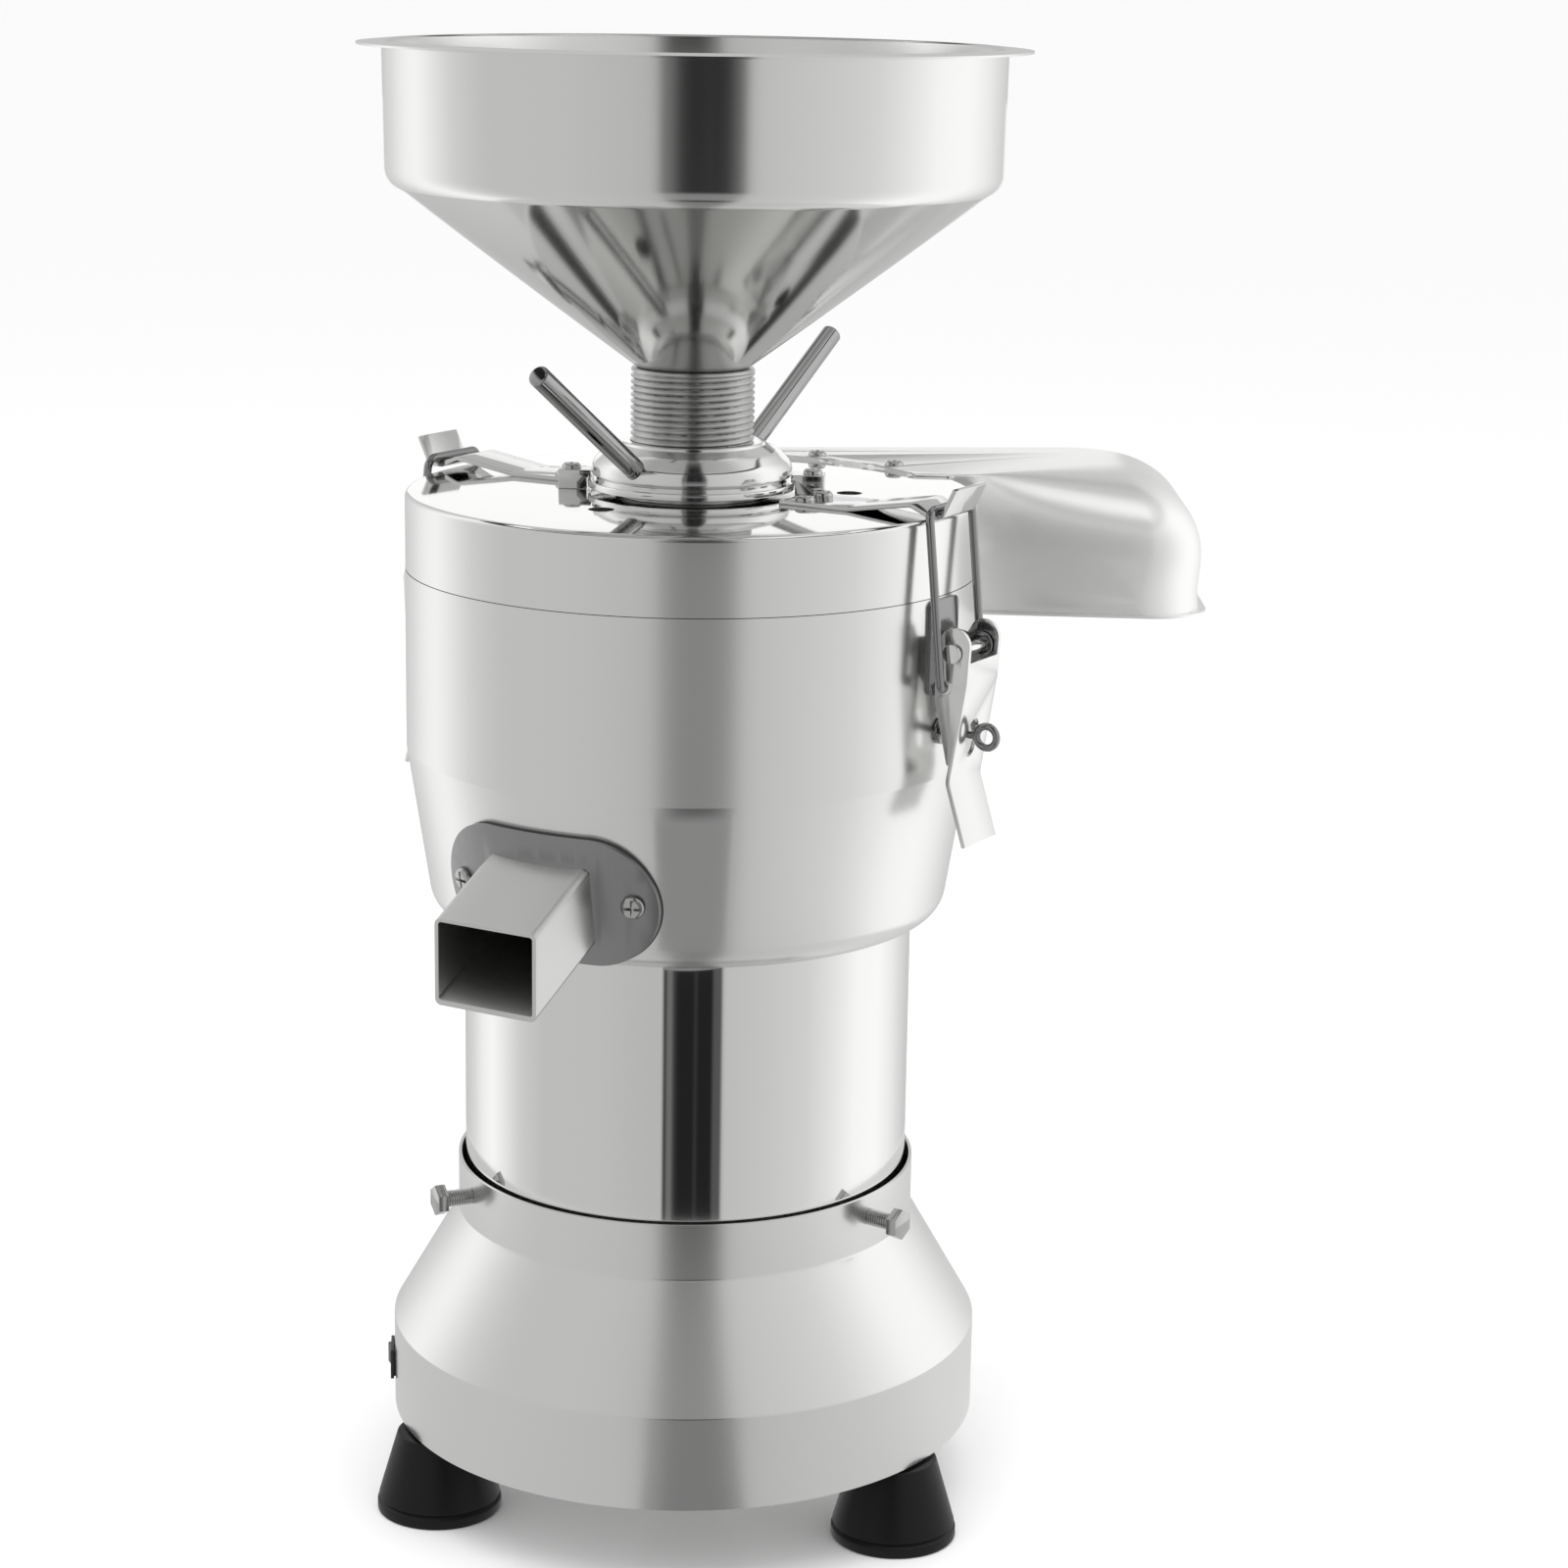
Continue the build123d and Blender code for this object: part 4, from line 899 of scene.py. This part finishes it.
# %% Lay the floor
bpy.ops.object.select_all(action="DESELECT")
bpy.ops.mesh.primitive_plane_add(size=240)
floor = bpy.context.object
floor.name = "floor"
floor_paint, _, floor_shader, _ = new_material("floor_paint")
floor_shader.inputs["Base Color"].default_value = (0.96, 0.96, 0.96, 1)
floor_shader.inputs["Roughness"].default_value = 0.9
floor.data.materials.append(floor_paint)


# %% Paint light by the angle around the machine and by height
def level_ramp(tree, share, stops):
    """A grey level along a share from 0 to 1, from (share, level) stops."""
    painted = tree.nodes.new("ShaderNodeValToRGB")
    tree.links.new(share, painted.inputs["Fac"])
    ramp = painted.color_ramp
    ramp.elements.remove(ramp.elements[-1])
    for number, (position, level) in enumerate(stops):
        stop = ramp.elements[0] if number == 0 else ramp.elements.new(position)
        stop.position = position
        stop.color = (level, level, level, 1)
    return painted.outputs["Color"]


def angle_share(tree, place):
    """The angle around the upright axis as a share: 0.5 at the front and growing to the right."""
    x, y, _ = split_place(tree, place)
    front = add_up(tree, y, -1.0, "MULTIPLY")
    angle = add_up(tree, x, front, "ARCTAN2")
    return add_up(tree, add_up(tree, angle, 1 / (2 * pi), "MULTIPLY"), 0.5)


def by_angle(stops):
    """Stops given in degrees from the front, as shares of the whole turn."""
    return [((degree + 180) / 360, level) for degree, level in stops]


# %% [markdown]
# The levels below are what the tent is painted with. The wall's light, the cloth's light and the gap go by
# the angle in degrees from the front, growing to the right. The high band and the gap's level go by the
# height, as a share of the tent's: the band gives edges that look up a thin dark line, and the gap is
# nearly black only where the polished sleeve and the hopper mirror it.

# %% Raise the tent
TENT_RADIUS = 0.55
TENT_HEIGHT = 1.3
DARKEST = 0.03
WALL_LIGHT = [
    (-180, 0.58),
    (-150, 0.62),
    (-132, 0.8),
    (-118, 1.05),
    (-108, 1.15),
    (-98, 1.0),
    (-85, 0.75),
    (-70, 0.63),
    (-40, 0.62),
    (-14, 0.57),
    (18, 0.62),
    (40, 0.69),
    (60, 0.78),
    (75, 0.95),
    (90, 1.15),
    (108, 1.18),
    (122, 1.02),
    (135, 0.82),
    (150, 0.64),
    (180, 0.58),
]
CLOTH_LIGHT = [
    (-180, 0.6),
    (-100, 0.66),
    (-14, 0.58),
    (18, 0.56),
    (60, 0.68),
    (90, 0.8),
    (110, 0.8),
    (180, 0.6),
]
GAP_MASK = [
    (-180, 0.0),
    (-9.6, 0.0),
    (-9.2, 1.0),
    (-7.4, 1.0),
    (-7.0, 0.7),
    (-5.2, 0.7),
    (-4.2, 0.93),
    (-2.5, 1.0),
    (4.6, 1.0),
    (5.4, 0.94),
    (6.2, 1.0),
    (13.0, 1.0),
    (13.6, 0.86),
    (17.2, 0.86),
    (18.4, 0.0),
]
HIGH_BAND = [
    (0.0, 1.0),
    (0.75, 1.0),
    (0.775, 0.05),
    (0.86, 0.05),
    (0.885, 1.0),
    (1.0, 1.0),
]
GAP_LEVEL = [
    (0.0, 0.4),
    (0.0012, 0.4),
    (0.0016, 0.0),
    (0.125, 0.0),
    (0.132, 0.4),
    (0.36, 0.4),
    (0.42, 0.0),
]
bpy.ops.object.select_all(action="DESELECT")
bpy.ops.mesh.primitive_cylinder_add(
    vertices=128,
    radius=TENT_RADIUS,
    depth=TENT_HEIGHT,
    end_fill_type="NOTHING",
    location=(0, 0, TENT_HEIGHT / 2 + 0.001),
)
tent = bpy.context.object
smooth(tent)


def glowing(name):
    """An emission material, its tree and its glow, ready for a colour."""
    paint = bpy.data.materials.new(name)
    paint.use_nodes = True
    tree = paint.node_tree
    tree.nodes.clear()
    glow = tree.nodes.new("ShaderNodeEmission")
    out = tree.nodes.new("ShaderNodeOutputMaterial")
    tree.links.new(glow.outputs["Emission"], out.inputs["Surface"])
    return paint, tree, glow


def tent_paint(name, stops):
    """Light by the angle, with the gap at the front as dark as its level at each height."""
    paint, tree, glow = glowing(name)
    place = tree.nodes.new("ShaderNodeTexCoord").outputs["Object"]
    turn = angle_share(tree, place)
    rise = add_up(tree, split_place(tree, place)[2], 1 / TENT_HEIGHT, "MULTIPLY")
    wall_light = level_ramp(tree, turn, by_angle(stops))
    gap_mask = level_ramp(tree, turn, by_angle(GAP_MASK))
    lost_share = add_up(tree, level_ramp(tree, rise, GAP_LEVEL), DARKEST - 1.0)
    kept_share = add_up(tree, add_up(tree, gap_mask, lost_share, "MULTIPLY"), 1.0)
    tent_light = add_up(tree, wall_light, kept_share, "MULTIPLY")
    banded_light = add_up(tree, tent_light, level_ramp(tree, rise, HIGH_BAND), "MULTIPLY")
    tree.links.new(banded_light, glow.inputs["Color"])
    return paint


def plain_glow(name, level):
    """Light of one level."""
    paint, tree, glow = glowing(name)
    glow.inputs["Color"].default_value = (level, level, level, 1)
    return paint


def seen_by_steel_only(card, name, paint):
    """A card of the studio that only reflections see."""
    placed(card)
    card.name = name
    card.data.materials.append(paint)
    card.visible_camera = False
    card.visible_diffuse = False
    card.visible_shadow = False


seen_by_steel_only(tent, "tent", tent_paint("tent_wall", WALL_LIGHT))

# %% Lay the tent's floor cloth and close its top with a grey cloth
for name, height, paint in (
    ("floor_cloth", 0.0005, tent_paint("floor_cloth_paint", CLOTH_LIGHT)),
    ("top_cloth", TENT_HEIGHT, plain_glow("top_cloth_paint", 0.3)),
):
    bpy.ops.object.select_all(action="DESELECT")
    bpy.ops.mesh.primitive_circle_add(
        vertices=128,
        radius=TENT_RADIUS,
        fill_type="NGON",
        location=(0, 0, height),
    )
    seen_by_steel_only(bpy.context.object, name, paint)

# %% Hang three cards in the tent: bright ones at the back and over the chute, a dim one before the taper
for name, place, size, level in (
    ("back_card", (0, 0.47, 0.575), (0.52, 0.004, 0.15), 1.1),
    ("top_card", (0.33, -0.12, 1.25), (0.24, 0.5, 0.004), 1.0),
    ("taper_card", (0.008, -0.16, 0.3125), (0.052, 0.001, 0.077), 0.27),
):
    seen_by_steel_only(box(place, size), name, plain_glow(name + "_paint", level))

# %% Light the rest of the room
world = bpy.data.worlds.new("studio")
bpy.context.scene.world = world
world.use_nodes = True
world.node_tree.nodes["Background"].inputs["Color"].default_value = (1, 1, 1, 1)
world.node_tree.nodes["Background"].inputs["Strength"].default_value = 1.0

# %% Hang a soft lamp above the front
lamp = bpy.data.lights.new("overhead", "AREA")
lamp.size = 2.2
lamp.energy = 30
overhead = bpy.data.objects.new("overhead", lamp)
bpy.context.scene.collection.objects.link(overhead)
overhead.location = (0.0, -0.6, 2.6)
aim = Vector((0, 0, 0.4))
overhead.rotation_euler = (aim - overhead.location).to_track_quat("-Z", "Y").to_euler()

# %% [markdown]
# The camera stands where the photograph was taken from, as fitted to its outlines: its focal length is 3611
# pixels of a picture 1600 wide, and it is tilted down and rolled a little.

# %% Set the camera
SENSOR_WIDTH = 36
camera_place = Vector((45.5, -1650.0, 746.0)) * MM
camera_data = bpy.data.cameras.new("camera")
camera_data.lens = 3611 / 1600 * SENSOR_WIDTH
camera_data.sensor_width = SENSOR_WIDTH
camera = bpy.data.objects.new("camera", camera_data)
bpy.context.scene.collection.objects.link(camera)
tilt = radians(13.44)
roll = radians(0.91)
look = Vector((0, cos(tilt), -sin(tilt)))
level_up = Vector((0, sin(tilt), cos(tilt)))
right = Vector((1, 0, 0)) * cos(roll) + level_up * sin(roll)
up = right.cross(look)
turning = Matrix((right, up, -look)).transposed()
camera.matrix_world = Matrix.Translation(camera_place) @ turning.to_4x4()
bpy.context.scene.camera = camera
bpy.context.scene.view_settings.view_transform = "Standard"
